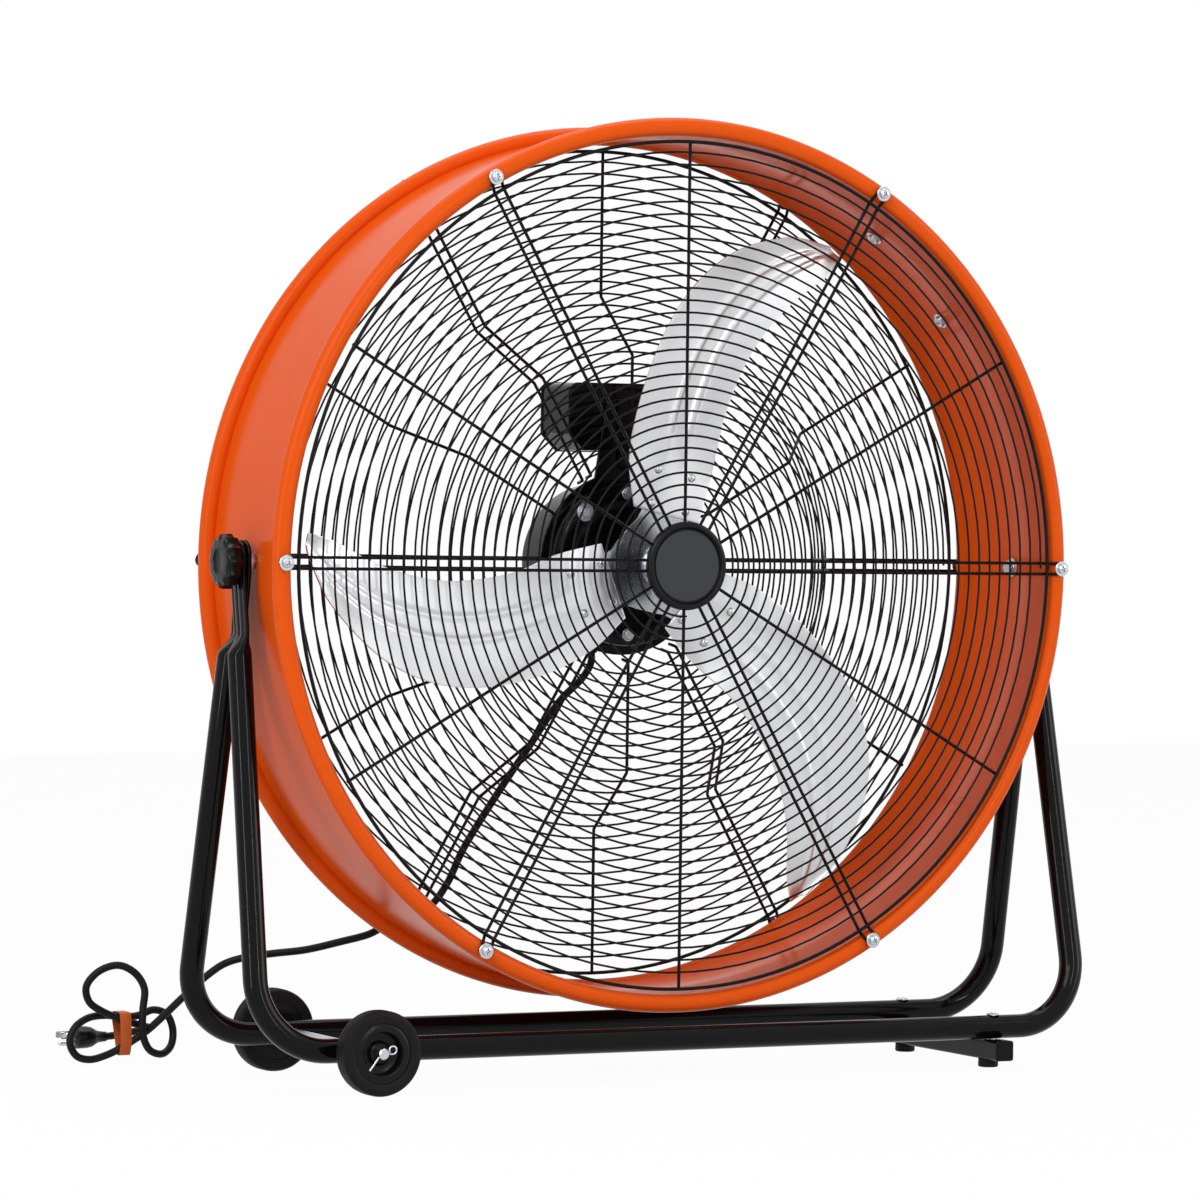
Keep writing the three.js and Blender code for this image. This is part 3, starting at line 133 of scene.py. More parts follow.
class DrumFanRotor(bpy.types.PropertyGroup):
    """Sizes of the blades and their spider"""
    blades: IntProperty(
        name="Blades", description="Number of blades", default=3, min=2, max=6)
    direction: FloatProperty(
        name="First Blade", description="Direction of the first blade from +X towards +Z",
        default=math.radians(78.3), subtype="ANGLE", unit="ROTATION")
    sheet: FloatProperty(
        name="Blade Thickness", description="Thickness of the blade sheet",
        default=0.0016, unit="LENGTH")
    rib_height: FloatProperty(
        name="Rib Height", description="How far the long ribs stand out of the blade",
        default=0.0016, unit="LENGTH")
    shaft_radius: FloatProperty(
        name="Shaft Radius", description="Radius of the motor shaft",
        default=0.00635, unit="LENGTH")


class DrumFanStand(bpy.types.PropertyGroup):
    """Sizes of the tubes, wheels and feet"""
    tube_radius: FloatProperty(
        name="Tube Radius", description="Outside radius of the stand's tubes",
        default=0.011, unit="LENGTH")
    half_depth: FloatProperty(
        name="Half Depth", description="Fan axis to the middle of each tube at the floor",
        default=0.084, unit="LENGTH")
    bottom_height: FloatProperty(
        name="Bottom Height", description="Middle of the bottom runs above the floor",
        default=0.038, unit="LENGTH")
    corner_radius: FloatProperty(
        name="Corner Radius", description="Bend radius of the tubes at the floor",
        default=0.064, unit="LENGTH")
    wheel_radius: FloatProperty(
        name="Wheel Radius", description="Outside radius of the tyres",
        default=0.038, unit="LENGTH")
    wheel_x: FloatProperty(
        name="Axle Place", description="Place of the axle across the stand",
        default=-0.321, unit="LENGTH")
    foot_x: FloatProperty(
        name="Foot Bar Place", description="Place of the foot bar across the stand",
        default=0.328, unit="LENGTH")
    knob_radius: FloatProperty(
        name="Hand Knob Radius", description="Outside radius of the clamping knobs",
        default=0.0245, unit="LENGTH")


class DrumFanLook(bpy.types.PropertyGroup):
    """Finishes, cord and studio"""
    paint: FloatVectorProperty(
        name="Drum Paint", description="Colour of the drum's paint",
        subtype="COLOR", size=3, default=(0.78, 0.093, 0.005), min=0.0, max=1.0)
    cord_radius: FloatProperty(
        name="Cord Radius", description="Outside radius of the cord's jacket",
        default=0.0035, unit="LENGTH")
    key_power: FloatProperty(
        name="Key Light", description="Power of the key light",
        default=78.0, min=0.0, unit="POWER")
    fill_power: FloatProperty(
        name="Fill Light", description="Power of the fill lights",
        default=42.0, min=0.0, unit="POWER")
    strip_power: FloatProperty(
        name="Strip Lights", description="Power of the narrow lights that draw the highlights",
        default=24.0, min=0.0, unit="POWER")
    white_stage: BoolProperty(
        name="White Stage", description="Show the floor and backdrop as plain white", default=True)


# ---------------------------------------------------------------- geometry helpers

def mm(value):
    return value / MM


def polar(radius, angle, y):
    """A point of the drum, in millimetres, from +X towards +Z."""
    return Vector((radius * math.cos(angle), y, radius * math.sin(angle)))


def smooth_step(value, low, high):
    share = min(max((value - low) / (high - low), 0.0), 1.0)
    return share * share * (3 - 2 * share)


def blend_values(a, b, share):
    return a + (b - a) * share


def spline_point(points, share):
    """A point of a uniform spline through the points, at a share from 0 to 1."""
    place = share * (len(points) - 1)
    index = min(int(place), len(points) - 2)
    t = place - index
    p0 = Vector(points[max(index - 1, 0)])
    p1 = Vector(points[index])
    p2 = Vector(points[index + 1])
    p3 = Vector(points[min(index + 2, len(points) - 1)])
    v0 = (p2 - p0) * 0.5
    v1 = (p3 - p1) * 0.5
    return ((2 * p1 - 2 * p2 + v0 + v1) * t ** 3
            + (-3 * p1 + 3 * p2 - 2 * v0 - v1) * t ** 2 + v0 * t + p1)


def rounded(corners, radius, steps):
    """A path with its corners rounded by arcs."""
    path = [corners[0]]
    for before, corner, after in zip(corners, corners[1:], corners[2:]):
        into = (corner - before).normalized()
        out = (after - corner).normalized()
        turn = into.angle(out)
        inward = (out - into * into.dot(out)).normalized()
        start = corner - into * radius * math.tan(turn / 2)
        for step in range(steps + 1):
            angle = turn * step / steps
            path.append(start + into * radius * math.sin(angle)
                        + inward * radius * (1 - math.cos(angle)))
    path.append(corners[-1])
    return path


# Edges that turn by more than this, in degrees, stay sharp.
SHARP_ANGLE = 35.0
# Points closer than this, in metres, become one.
MERGE_DISTANCE = 1e-7


def linked(name, data):
    """A new object of the scene that shows the data."""
    obj = bpy.data.objects.new(name, data)
    bpy.context.scene.collection.objects.link(obj)
    return obj


def piece(name, points, faces, lift=0.0, sharp=SHARP_ANGLE):
    """A mesh from points in millimetres, smooth except across sharp edges."""
    name = name.replace(" ", "_")
    mesh = bpy.data.meshes.new(name)
    mesh.from_pydata([(x * MM, y * MM, (z + lift) * MM) for x, y, z in points], [], faces)
    work = bmesh.new()
    work.from_mesh(mesh)
    bmesh.ops.remove_doubles(work, verts=work.verts, dist=MERGE_DISTANCE)
    bmesh.ops.recalc_face_normals(work, faces=work.faces)
    work.to_mesh(mesh)
    work.free()
    mesh.shade_smooth()
    mesh.set_sharp_from_angle(angle=math.radians(sharp))
    return linked(name, mesh)


def grid_faces(rings, sides, closed_rings=False, closed_sides=True):
    faces = []
    for ring in range(rings if closed_rings else rings - 1):
        here = ring * sides
        after = ((ring + 1) % rings) * sides
        for side in range(sides if closed_sides else sides - 1):
            beside = (side + 1) % sides
            faces.append((here + side, here + beside, after + beside, after + side))
    return faces


def turned(name, profile, steps=64, place=None, closed=False, lift=0.0, sharp=SHARP_ANGLE, shape=None):
    """A solid of revolution about Y from (radius, y) pairs; shape can change a radius by angle."""
    points = []
    for radius, y in profile:
        for step in range(steps):
            angle = 2 * math.pi * step / steps
            reach = shape(radius, y, angle) if shape else radius
            points.append(polar(reach, angle, y))
    faces = grid_faces(len(profile), steps, closed_rings=closed)
    if not closed:
        for index, (radius, _) in ((0, profile[0]), (len(profile) - 1, profile[-1])):
            if radius > 0:
                faces.append(tuple(index * steps + step for step in range(steps)))
    if place is not None:
        points = [place @ point for point in points]
    return piece(name, points, faces, lift, sharp)


def frames_along(path, up, closed=False):
    """(point, normal, across) along a path, with the normal carried without twist."""
    count = len(path)
    normal = up.copy()
    result = []
    for i, point in enumerate(path):
        before = path[(i - 1) % count] if closed else path[max(i - 1, 0)]
        after = path[(i + 1) % count] if closed else path[min(i + 1, count - 1)]
        tangent = (after - before).normalized()
        normal = (normal - tangent * normal.dot(tangent)).normalized()
        result.append((point, normal.copy(), tangent.cross(normal)))
    return result


def sweep(name, path, section_at, up=Vector((0, 1, 0)), closed=False, lift=0.0, sharp=SHARP_ANGLE):
    """A solid along a path in millimetres; section_at gives the outline at each station."""
    points = []
    sides = len(section_at(0))
    for i, (point, normal, across) in enumerate(frames_along(path, up, closed)):
        points += [point + normal * a + across * b for a, b in section_at(i)]
    faces = grid_faces(len(path), sides, closed_rings=closed)
    if not closed:
        faces.append(tuple(range(sides)))
        faces.append(tuple(range((len(path) - 1) * sides, len(path) * sides)))
    return piece(name, points, faces, lift, sharp)


def circle(radius, sides, phase=0.0):
    return [(radius * math.cos(2 * math.pi * i / sides + phase),
             radius * math.sin(2 * math.pi * i / sides + phase)) for i in range(sides)]


def wires(name, paths, radius, lift=0.0, sizes=None, sides=3):
    """Round wires along open or closed paths in millimetres; sizes gives each path its own radius."""
    name = name.replace(" ", "_")
    curve = bpy.data.curves.new(name, "CURVE")
    curve.dimensions = "3D"
    curve.bevel_depth = radius * MM
    curve.bevel_resolution = sides
    curve.use_fill_caps = True
    for i, (path, cyclic) in enumerate(paths):
        spline = curve.splines.new("POLY")
        spline.points.add(len(path) - 1)
        spline.use_cyclic_u = cyclic
        size = sizes[i] / radius if sizes else 1.0
        for point, place in zip(spline.points, path):
            point.co = (place.x * MM, place.y * MM, (place.z + lift) * MM, 1.0)
            point.radius = size
    return linked(name, curve)


def slab(name, outline, front, back, lift=0.0, bevel=0.6, place=None):
    """A plate drawn in X and Z, from y front to y back, with softened edges."""
    count = len(outline)
    points = [Vector((x, front, z)) for x, z in outline] + [Vector((x, back, z)) for x, z in outline]
    if place is not None:
        points = [place @ point for point in points]
    faces = grid_faces(2, count)
    faces += [tuple(range(count)), tuple(range(count, 2 * count))]
    obj = piece(name, points, faces, lift)
    soften(obj, bevel)
    return obj


def soften(obj, width, angle=40.0, segments=2):
    edge = obj.modifiers.new("Softened Edges", "BEVEL")
    edge.width = width * MM
    edge.segments = segments
    edge.limit_method = "ANGLE"
    edge.angle_limit = math.radians(angle)


def joined(name, objects):
    """One mesh object from several."""
    name = name.replace(" ", "_")
    work = bmesh.new()
    graph = bpy.context.evaluated_depsgraph_get()
    for obj in objects:
        shape = obj.evaluated_get(graph)
        mesh = bpy.data.meshes.new_from_object(shape)
        work.from_mesh(mesh)
        bpy.data.meshes.remove(mesh)
    mesh = bpy.data.meshes.new(name)
    work.to_mesh(mesh)
    work.free()
    mesh.shade_smooth()
    mesh.set_sharp_from_angle(angle=math.radians(SHARP_ANGLE))
    for obj in objects:
        bpy.data.objects.remove(obj)
    return linked(name, mesh)


def arc(middle, radius, start, end, steps):
    """Points (a, b) on an arc, angles in degrees."""
    return [(middle[0] + radius * math.cos(math.radians(start + (end - start) * i / steps)),
             middle[1] + radius * math.sin(math.radians(start + (end - start) * i / steps)))
            for i in range(steps + 1)]


def shifted(place, distance):
    """A place moved along its own Y axis, in millimetres."""
    return place @ Matrix.Translation((0, distance, 0))


def facing(side):
    """Turns what points along +Y to point along -Y where the side is negative."""
    return Matrix.Rotation(math.pi if side < 0 else 0.0, 4, "X")


def lobed(radius, depth, lobes):
    """Concave bites round the edge of a knob between narrow ridges, fading towards its middle."""
    ridge_power, fade_power = 0.8, 3

    def shape(reach, y, angle):
        bite = abs(math.sin(lobes * angle / 2)) ** ridge_power
        return reach - depth * bite * (reach / radius) ** fade_power
    return shape


# ---------------------------------------------------------------- shader groups

def new_group(name, inputs, outputs):
    group = bpy.data.node_groups.new(name, "ShaderNodeTree")
    for label, kind, default in inputs:
        socket = group.interface.new_socket(name=label, in_out="INPUT", socket_type=kind)
        socket.default_value = default
    for label, kind in outputs:
        group.interface.new_socket(name=label, in_out="OUTPUT", socket_type=kind)
    into = group.nodes.new("NodeGroupInput")
    out = group.nodes.new("NodeGroupOutput")
    into.location = (-800, 0)
    out.location = (600, 0)
    return group, into, out


def noise(group, scale, detail, vector=None, location=(-300, 0)):
    """A noise texture in the object's own coordinates; scale is a value or a socket."""
    texture = group.nodes.new("ShaderNodeTexNoise")
    texture.location = location
    texture.inputs["Detail"].default_value = detail
    if vector is None:
        vector = group.nodes.new("ShaderNodeTexCoord").outputs["Object"]
    group.links.new(vector, texture.inputs["Vector"])
    if isinstance(scale, (int, float)):
        texture.inputs["Scale"].default_value = scale
    else:
        group.links.new(scale, texture.inputs["Scale"])
    return texture.outputs["Fac"]


def drift_group():
    """Slow variation between two values over the surface."""
    group, into, out = new_group(
        "Surface Drift",
        [("Scale", "NodeSocketFloat", 30.0), ("Low", "NodeSocketFloat", 0.3),
         ("High", "NodeSocketFloat", 0.4)],
        [("Value", "NodeSocketFloat")])
    ranged = group.nodes.new("ShaderNodeMapRange")
    ranged.inputs["From Min"].default_value = 0.3
    ranged.inputs["From Max"].default_value = 0.7
    group.links.new(noise(group, into.outputs["Scale"], 3.0), ranged.inputs["Value"])
    group.links.new(into.outputs["Low"], ranged.inputs["To Min"])
    group.links.new(into.outputs["High"], ranged.inputs["To Max"])
    group.links.new(ranged.outputs["Result"], out.inputs["Value"])
    return group


def tint_group():
    """A colour that goes a little darker and lighter over the surface."""
    group, into, out = new_group(
        "Tint Drift",
        [("Dark", "NodeSocketColor", (0.1, 0.1, 0.1, 1)),
         ("Light", "NodeSocketColor", (0.2, 0.2, 0.2, 1)),
         ("Scale", "NodeSocketFloat", 20.0)],
        [("Color", "NodeSocketColor")])
    mix = group.nodes.new("ShaderNodeMix")
    mix.data_type = "RGBA"
    group.links.new(noise(group, into.outputs["Scale"], 4.0), mix.inputs["Factor"])
    group.links.new(into.outputs["Dark"], mix.inputs[6])
    group.links.new(into.outputs["Light"], mix.inputs[7])
    group.links.new(mix.outputs[2], out.inputs["Color"])
    return group


def grain_group():
    """Height of a fine moulded or sprayed grain."""
    group, into, out = new_group(
        "Fine Grain", [("Scale", "NodeSocketFloat", 900.0)], [("Height", "NodeSocketFloat")])
    cells = group.nodes.new("ShaderNodeTexVoronoi")
    coordinates = group.nodes.new("ShaderNodeTexCoord")
    group.links.new(coordinates.outputs["Object"], cells.inputs["Vector"])
    group.links.new(into.outputs["Scale"], cells.inputs["Scale"])
    total = group.nodes.new("ShaderNodeMath")
    total.operation = "ADD"
    group.links.new(cells.outputs["Distance"], total.inputs[0])
    group.links.new(noise(group, into.outputs["Scale"], 2.0), total.inputs[1])
    group.links.new(total.outputs[0], out.inputs["Height"])
    return group


def streak_group():
    """Rolling lines of sheet metal along one direction, as height and roughness."""
    group, into, out = new_group(
        "Rolled Streaks",
        [("Stretch", "NodeSocketVector", (40.0, 900.0, 900.0)), ("Low", "NodeSocketFloat", 0.25),
         ("High", "NodeSocketFloat", 0.4)],
        [("Height", "NodeSocketFloat"), ("Roughness", "NodeSocketFloat")])
    coordinates = group.nodes.new("ShaderNodeTexCoord")
    stretch = group.nodes.new("ShaderNodeVectorMath")
    stretch.operation = "MULTIPLY"
    group.links.new(coordinates.outputs["Object"], stretch.inputs[0])
    group.links.new(into.outputs["Stretch"], stretch.inputs[1])
    lines = noise(group, 1.0, 4.0, stretch.outputs["Vector"])
    ranged = group.nodes.new("ShaderNodeMapRange")
    group.links.new(lines, ranged.inputs["Value"])
    group.links.new(into.outputs["Low"], ranged.inputs["To Min"])
    group.links.new(into.outputs["High"], ranged.inputs["To Max"])
    group.links.new(ranged.outputs["Result"], out.inputs["Roughness"])
    group.links.new(lines, out.inputs["Height"])
    return group


def use_group(material, group, values=None):
    node = material.node_tree.nodes.new("ShaderNodeGroup")
    node.node_tree = group
    for label, value in (values or {}).items():
        node.inputs[label].default_value = value
    return node


def bare_material(name):
    material = bpy.data.materials.new(name)
    material.use_nodes = True
    return material, material.node_tree.nodes["Principled BSDF"]


def bump(material, shader, height, distance, strength):
    node = material.node_tree.nodes.new("ShaderNodeBump")
    node.inputs["Strength"].default_value = strength
    node.inputs["Distance"].default_value = distance
    material.node_tree.links.new(height, node.inputs["Height"])
    material.node_tree.links.new(node.outputs["Normal"], shader.inputs["Normal"])


# Painted, enamelled and moulded finishes: name, colour, least and most roughness, shine, and
# the scale and height of the grain.
ORANGE_ROUGHNESS, ORANGE_SHINE, ORANGE_GRAIN = (0.16, 0.24), 0.07, (500, 0.03)
COATS = {
    "black_enamel": ("Black Enamel", (0.003, 0.003, 0.0035), (0.1, 0.16), 0.13, 500, 0.03),
    "black_wire": ("Black Wire", (0.004, 0.004, 0.0045), (0.3, 0.4), 0.1, 900, 0.08),
    "black_plastic": ("Black Plastic", (0.005, 0.005, 0.0055), (0.2, 0.3), 0.15, 1200, 0.06),
    "grey_plastic": ("Grey Plastic", (0.04, 0.043, 0.048), (0.3, 0.4), 0.15, 900, 0.05),
    "black_rubber": ("Black Rubber", (0.006, 0.006, 0.006), (0.45, 0.6), 0.12, 1500, 0.2),
    "cord_jacket": ("Cord Jacket", (0.006, 0.006, 0.0065), (0.34, 0.46), 0.12, 1500, 0.1),
    "tie_paper": ("Tie Band", (0.5, 0.1, 0.02), (0.4, 0.55), 0.2, 700, 0.3),
}
# Bare metals: name, colour, least and most roughness, stretch of the rolling lines, and relief.
METALS = {
    "aluminium": ("Blade Aluminium", (0.8, 0.81, 0.82), (0.24, 0.36), (60, 60, 900), 0.08),
    "zinc_steel": ("Zinc Steel", (0.56, 0.59, 0.64), (0.2, 0.32), (60, 60, 60), 0.01),
}
NICKEL = ("Nickel Pins", (0.62, 0.6, 0.56), (0.15, 0.25), (90, 90, 90), 0.01)
COAT_DARK, COAT_TINT_SCALE = 0.9, 8.0
METAL_DARK, METAL_TINT_SCALE = 0.88, 12.0
ROUGHNESS_SCALE = 25.0
BUMP_DISTANCE = 0.0002


class Finishes:
    """The materials of the fan, one per slot of the record, and one for the plug's pins."""

    def __init__(self, look):
        self.drift = drift_group()
        self.tint = tint_group()
        self.grain = grain_group()
        self.streaks = streak_group()
        paint = self.coated("Orange Paint", tuple(look.paint), ORANGE_ROUGHNESS, ORANGE_SHINE, *ORANGE_GRAIN)
        self.by_slot = {"orange_paint": paint}
        for slot, recipe in COATS.items():
            self.by_slot[slot] = self.coated(*recipe)
        for slot, recipe in METALS.items():
            self.by_slot[slot] = self.metal(*recipe)
        self.nickel = self.metal(*NICKEL)

    def tinted(self, name, colour, dark_share, tint_scale):
        """A new material whose colour drifts a little darker over the surface."""
        material, shader = bare_material(name)
        dark = (*(dark_share * value for value in colour), 1.0)
        tint = use_group(material, self.tint, {"Dark": dark, "Light": (*colour, 1.0), "Scale": tint_scale})
        material.node_tree.links.new(tint.outputs["Color"], shader.inputs["Base Color"])
        return material, shader

    def coated(self, name, colour, roughness, shine, grain_scale, grain_height):
        material, shader = self.tinted(name, colour, COAT_DARK, COAT_TINT_SCALE)
        low, high = roughness
        drift = use_group(material, self.drift, {"Scale": ROUGHNESS_SCALE, "Low": low, "High": high})
        grain = use_group(material, self.grain, {"Scale": float(grain_scale)})
        material.node_tree.links.new(drift.outputs["Value"], shader.inputs["Roughness"])
        shader.inputs["Specular IOR Level"].default_value = shine
        bump(material, shader, grain.outputs["Height"], BUMP_DISTANCE, grain_height)
        return material

    def metal(self, name, colour, roughness, stretch, relief):
        material, shader = self.tinted(name, colour, METAL_DARK, METAL_TINT_SCALE)
        low, high = roughness
        lines = use_group(material, self.streaks, {
            "Stretch": tuple(float(value) for value in stretch), "Low": low, "High": high})
        material.node_tree.links.new(lines.outputs["Roughness"], shader.inputs["Roughness"])
        shader.inputs["Metallic"].default_value = 1.0
        bump(material, shader, lines.outputs["Height"], BUMP_DISTANCE, relief)
        return material

    def apply(self, obj, slot, body, nodes=(), material=None):
        """Gives a piece its finish and lets it ride a body in place of its CAD nodes."""
        obj.data.materials.clear()
        obj.data.materials.append(material or self.by_slot[slot])
        if body:
            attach(obj, body)
        if nodes:
            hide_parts(*nodes)
        return obj


SHARED = {}


def finishes():
    if "finishes" not in SHARED:
        SHARED["finishes"] = Finishes(bpy.context.scene.drum_fan_look)
    return SHARED["finishes"]


def put(obj, slot, body, *nodes, material=None):
    return finishes().apply(obj, slot, body, nodes, material)


def keep(slot, *nodes, width=0.4):
    """CAD nodes shown as they are, with their finish and softened edges."""
    for name in nodes:
        obj = frame["nodes"][name]
        obj.data.materials.clear()
        obj.data.materials.append(finishes().by_slot[slot])
        soften(obj, width)


# ---------------------------------------------------------------- fasteners

def pan_head(name, radius, height, place, slot_depth=1.6):
    """A domed screw head, seat at y 0 and top at y height, with a crossed recess."""
    rings, steps = 14, 48
    slot_half_width, slot_reach = 0.55, radius * 0.62
    edge_share = 0.55
    points = []
    for ring in range(rings + 1):
        share = ring / rings
        for step in range(steps):
            angle = 2 * math.pi * step / steps
            reach = radius * share
            y = height * (edge_share + 0.45 * math.sqrt(max(0.0, 1 - share ** 2)))
            x, z = reach * math.cos(angle), reach * math.sin(angle)
            if min(abs(x), abs(z)) < slot_half_width and reach < slot_reach:
                y -= slot_depth
            points.append(Vector((x, y, z)))
    points += [polar(radius, 2 * math.pi * step / steps, 0) for step in range(steps)]
    faces = grid_faces(rings + 2, steps)
    faces.append(tuple((rings + 1) * steps + step for step in range(steps)))
    return piece(name, [place @ point for point in points], faces, sharp=30)


def hex_part(name, across_flats, height, place):
    """A hexagon nut or head from y 0 to y height, with turned corners."""
    reach = across_flats / math.sqrt(3)
    profile = [(0, 0), (reach * 0.95, 0), (reach, height * 0.12), (reach, height * 0.85),
               (reach * 0.9, height), (0, height)]
    return turned(name, profile, 6, place, sharp=20)


def washer(name, inner, outer, thickness, place):
    profile = [(inner, 0), (outer - 0.2, 0), (outer, 0.2), (outer, thickness - 0.3),
               (outer - 0.3, thickness), (inner, thickness)]
    return turned(name, profile, 40, place, closed=True)


def rod(name, radius, start, end, place, steps=24):
    profile = [(0, start), (radius, start), (radius, end), (0, end)]
    return turned(name, profile, steps, place)


# ---------------------------------------------------------------- drum

def lift():
    return mm(bpy.context.scene.drum_fan_drum.axis_height)


def build_shell():
    drum = bpy.context.scene.drum_fan_drum
    sheet, wall = mm(drum.sheet_radius), mm(drum.sheet_wall)
    ring, bead = mm(drum.bead_ring), mm(drum.bead_radius)

    def meets(radius):
        return math.degrees(math.acos((radius - ring) / bead))

    outer, inner = meets(sheet), meets(sheet - wall)
    front, rear = mm(drum.front_bead), mm(drum.rear_bead)
    steps = 36
    profile = arc((ring, front), bead, inner, 360 + outer, steps)
    profile += arc((ring, rear), bead, -outer, 360 - inner, steps)
    shell = turned("Drum Sheet", profile, 240, closed=True, lift=lift(), sharp=50)
    put(shell, "orange_paint", "drum", "drum_shell")


# Grilles, in millimetres: how far the outer ring sits inside the bead's face, the spokes inside
# the ring, and the hairpins' ends outside the bead.
RING_WIRE = 1.7
RING_SINK = 1
SPOKE_SINK = 2.9
SEAT_RISE = 2.0
SPOKE_PAIRS = 6
PAIR_ANGLE = 360 / SPOKE_PAIRS
HAIRPIN_HALF = 5.0
SPOKE_BEND_STEPS = 4
SPIRAL_START = 4
SPIRAL_STEP = math.radians(4)
WELD = 0.1


def grille_planes(faces):
    """Places along the fan axis of a grille's outer ring, its spokes and its ends on the bead."""
    drum = bpy.context.scene.drum_fan_drum
    bead = mm(drum.front_bead if faces < 0 else drum.rear_bead)
    ring = bead + faces * (mm(drum.bead_radius) - RING_SINK)
    spokes = ring - faces * SPOKE_SINK
    seat = bead + faces * (mm(drum.bead_radius) + SEAT_RISE)
    return ring, spokes, seat


DISH_INNER = 194.0
DISH_OUTER = 250.0
DISH_PLANE = 36.0


def dish_profile(offset):
    spokes = grille_planes(1)[1]
    slope = math.atan2(spokes - DISH_PLANE, DISH_OUTER - DISH_INNER)
    shift = offset * math.tan(slope / 2)
    return [(DISH_INNER - shift, DISH_PLANE + offset), (DISH_OUTER - shift, spokes + offset)]


def dish_height(radius, offset):
    (inner, low), (outer, high) = dish_profile(offset)
    return blend_values(low, high, min(max((radius - inner) / (outer - inner), 0), 1))


def radial(angle, profile, aside=0.0):
    out = polar(1, angle, 0)
    beside = polar(1, angle + math.pi / 2, 0)
    return [out * radius + beside * aside + Vector((0, y, 0)) for radius, y in profile]


def hairpin(angle, faces, inner):
    """Two parallel spokes that step over the bead and loop round the rim screw."""
    drum = bpy.context.scene.drum_fan_drum
    _, spokes, seat = grille_planes(faces)
    bead = mm(drum.bead_ring)
    leg = inner + [(mm(drum.ring_radius) + 1, spokes), (bead - 6.5, spokes + 0.55 * (seat - spokes)),
                   (bead - 3, seat)]
    path = rounded(radial(angle, leg, -HAIRPIN_HALF), 2.0, SPOKE_BEND_STEPS)
    for reach, aside in arc((bead, 0), HAIRPIN_HALF, -90, 90, 16):
        path += radial(angle, [(reach, seat)], aside)
    path += rounded(radial(angle, leg, HAIRPIN_HALF), 2.0, SPOKE_BEND_STEPS)[::-1]
    return path


def spiral_path(inner, height_at):
    """One wire that winds anticlockwise from the rim to the middle."""
    drum = bpy.context.scene.drum_fan_drum
    radius = mm(drum.ring_radius) - RING_WIRE - mm(drum.spiral_wire) - SPIRAL_START
    angle = 0.0
    path = []
    while radius > inner:
        path.append(polar(radius, angle, height_at(radius)))
        angle += SPIRAL_STEP
        radius -= mm(drum.spiral_pitch) * SPIRAL_STEP / (2 * math.pi)
    return path


def build_grille(side, faces, inner, spiral_inner, height_at):
    drum = bpy.context.scene.drum_fan_drum
    ring, spokes, _ = grille_planes(faces)
    spoke_wire = mm(drum.spoke_wire)
    ring_path = [polar(mm(drum.ring_radius), math.radians(2 * i), ring) for i in range(180)]
    single = inner + [(mm(drum.ring_radius) + 1, spokes)]
    paths = [(ring_path, True)]
    for i in range(SPOKE_PAIRS):
        paths.append((hairpin(math.radians(PAIR_ANGLE * i), faces, inner), False))
        between = math.radians(PAIR_ANGLE * i + PAIR_ANGLE / 2)
        paths.append((rounded(radial(between, single), 3.0, SPOKE_BEND_STEPS), False))
    sizes = [RING_WIRE] + [spoke_wire] * (2 * SPOKE_PAIRS)
    frame_wires = wires(f"{side.title()} Grille Spokes", paths, spoke_wire, lift(), sizes)
    put(frame_wires, "black_wire", "drum", f"{side}_grille_spokes")
    spiral = wires(f"{side.title()} Grille Spiral", [(spiral_path(spiral_inner, height_at), False)],
                   mm(drum.spiral_wire), lift(), sides=2)
    put(spiral, "black_wire", "drum", f"{side}_grille_spiral")


# Where the spokes and the spiral of each grille end near the middle.
FRONT_SPOKES_END = 30.0
FRONT_SPIRAL_END = 46.0
REAR_SPOKES_END = [(89.0, 47.5), (91.5, DISH_PLANE)]
REAR_SPIRAL_END = 97.0


def build_grilles():
    drum = bpy.context.scene.drum_fan_drum
    touch = mm(drum.spoke_wire) + mm(drum.spiral_wire) - WELD
    spokes = grille_planes(-1)[1]
    build_grille("front", -1, [(FRONT_SPOKES_END, spokes)], FRONT_SPIRAL_END, lambda radius: spokes - touch)
    inner = [*REAR_SPOKES_END, *dish_profile(0)]
    build_grille("rear", 1, inner, REAR_SPIRAL_END, lambda radius: dish_height(radius, touch))


def build_rim_screws():
    drum = bpy.context.scene.drum_fan_drum
    loop_height, clip_screw, clip_height = 1.6, 4, 1.5
    for side, faces in (("front", -1), ("rear", 1)):
        seat = grille_planes(faces)[2] + faces * loop_height
        for i in range(SPOKE_PAIRS):
            holds_clip = side == "rear" and i == clip_screw
            at = polar(mm(drum.bead_ring), math.radians(PAIR_ANGLE * i), seat) + Vector((0, 0, lift()))
            spin = Matrix.Rotation(0.7 * i + 0.3, 4, "Y")
            place = Matrix.Translation(at) @ facing(faces) @ spin
            raised = shifted(place, clip_height if holds_clip else 0)
            parts = [washer("Washer", 2.4, 5.4 if holds_clip else 7.0, 1.0, raised),
                     rod("Shank", 2.3, -3.5, 1.2, raised),
                     pan_head("Head", 4.4, 2.9, shifted(raised, 1.0))]
            screw = joined(f"{side.title()} Rim Screw {i + 1}", parts)
            put(screw, "zinc_steel", "drum", f"{side}_screw_{i + 1}")


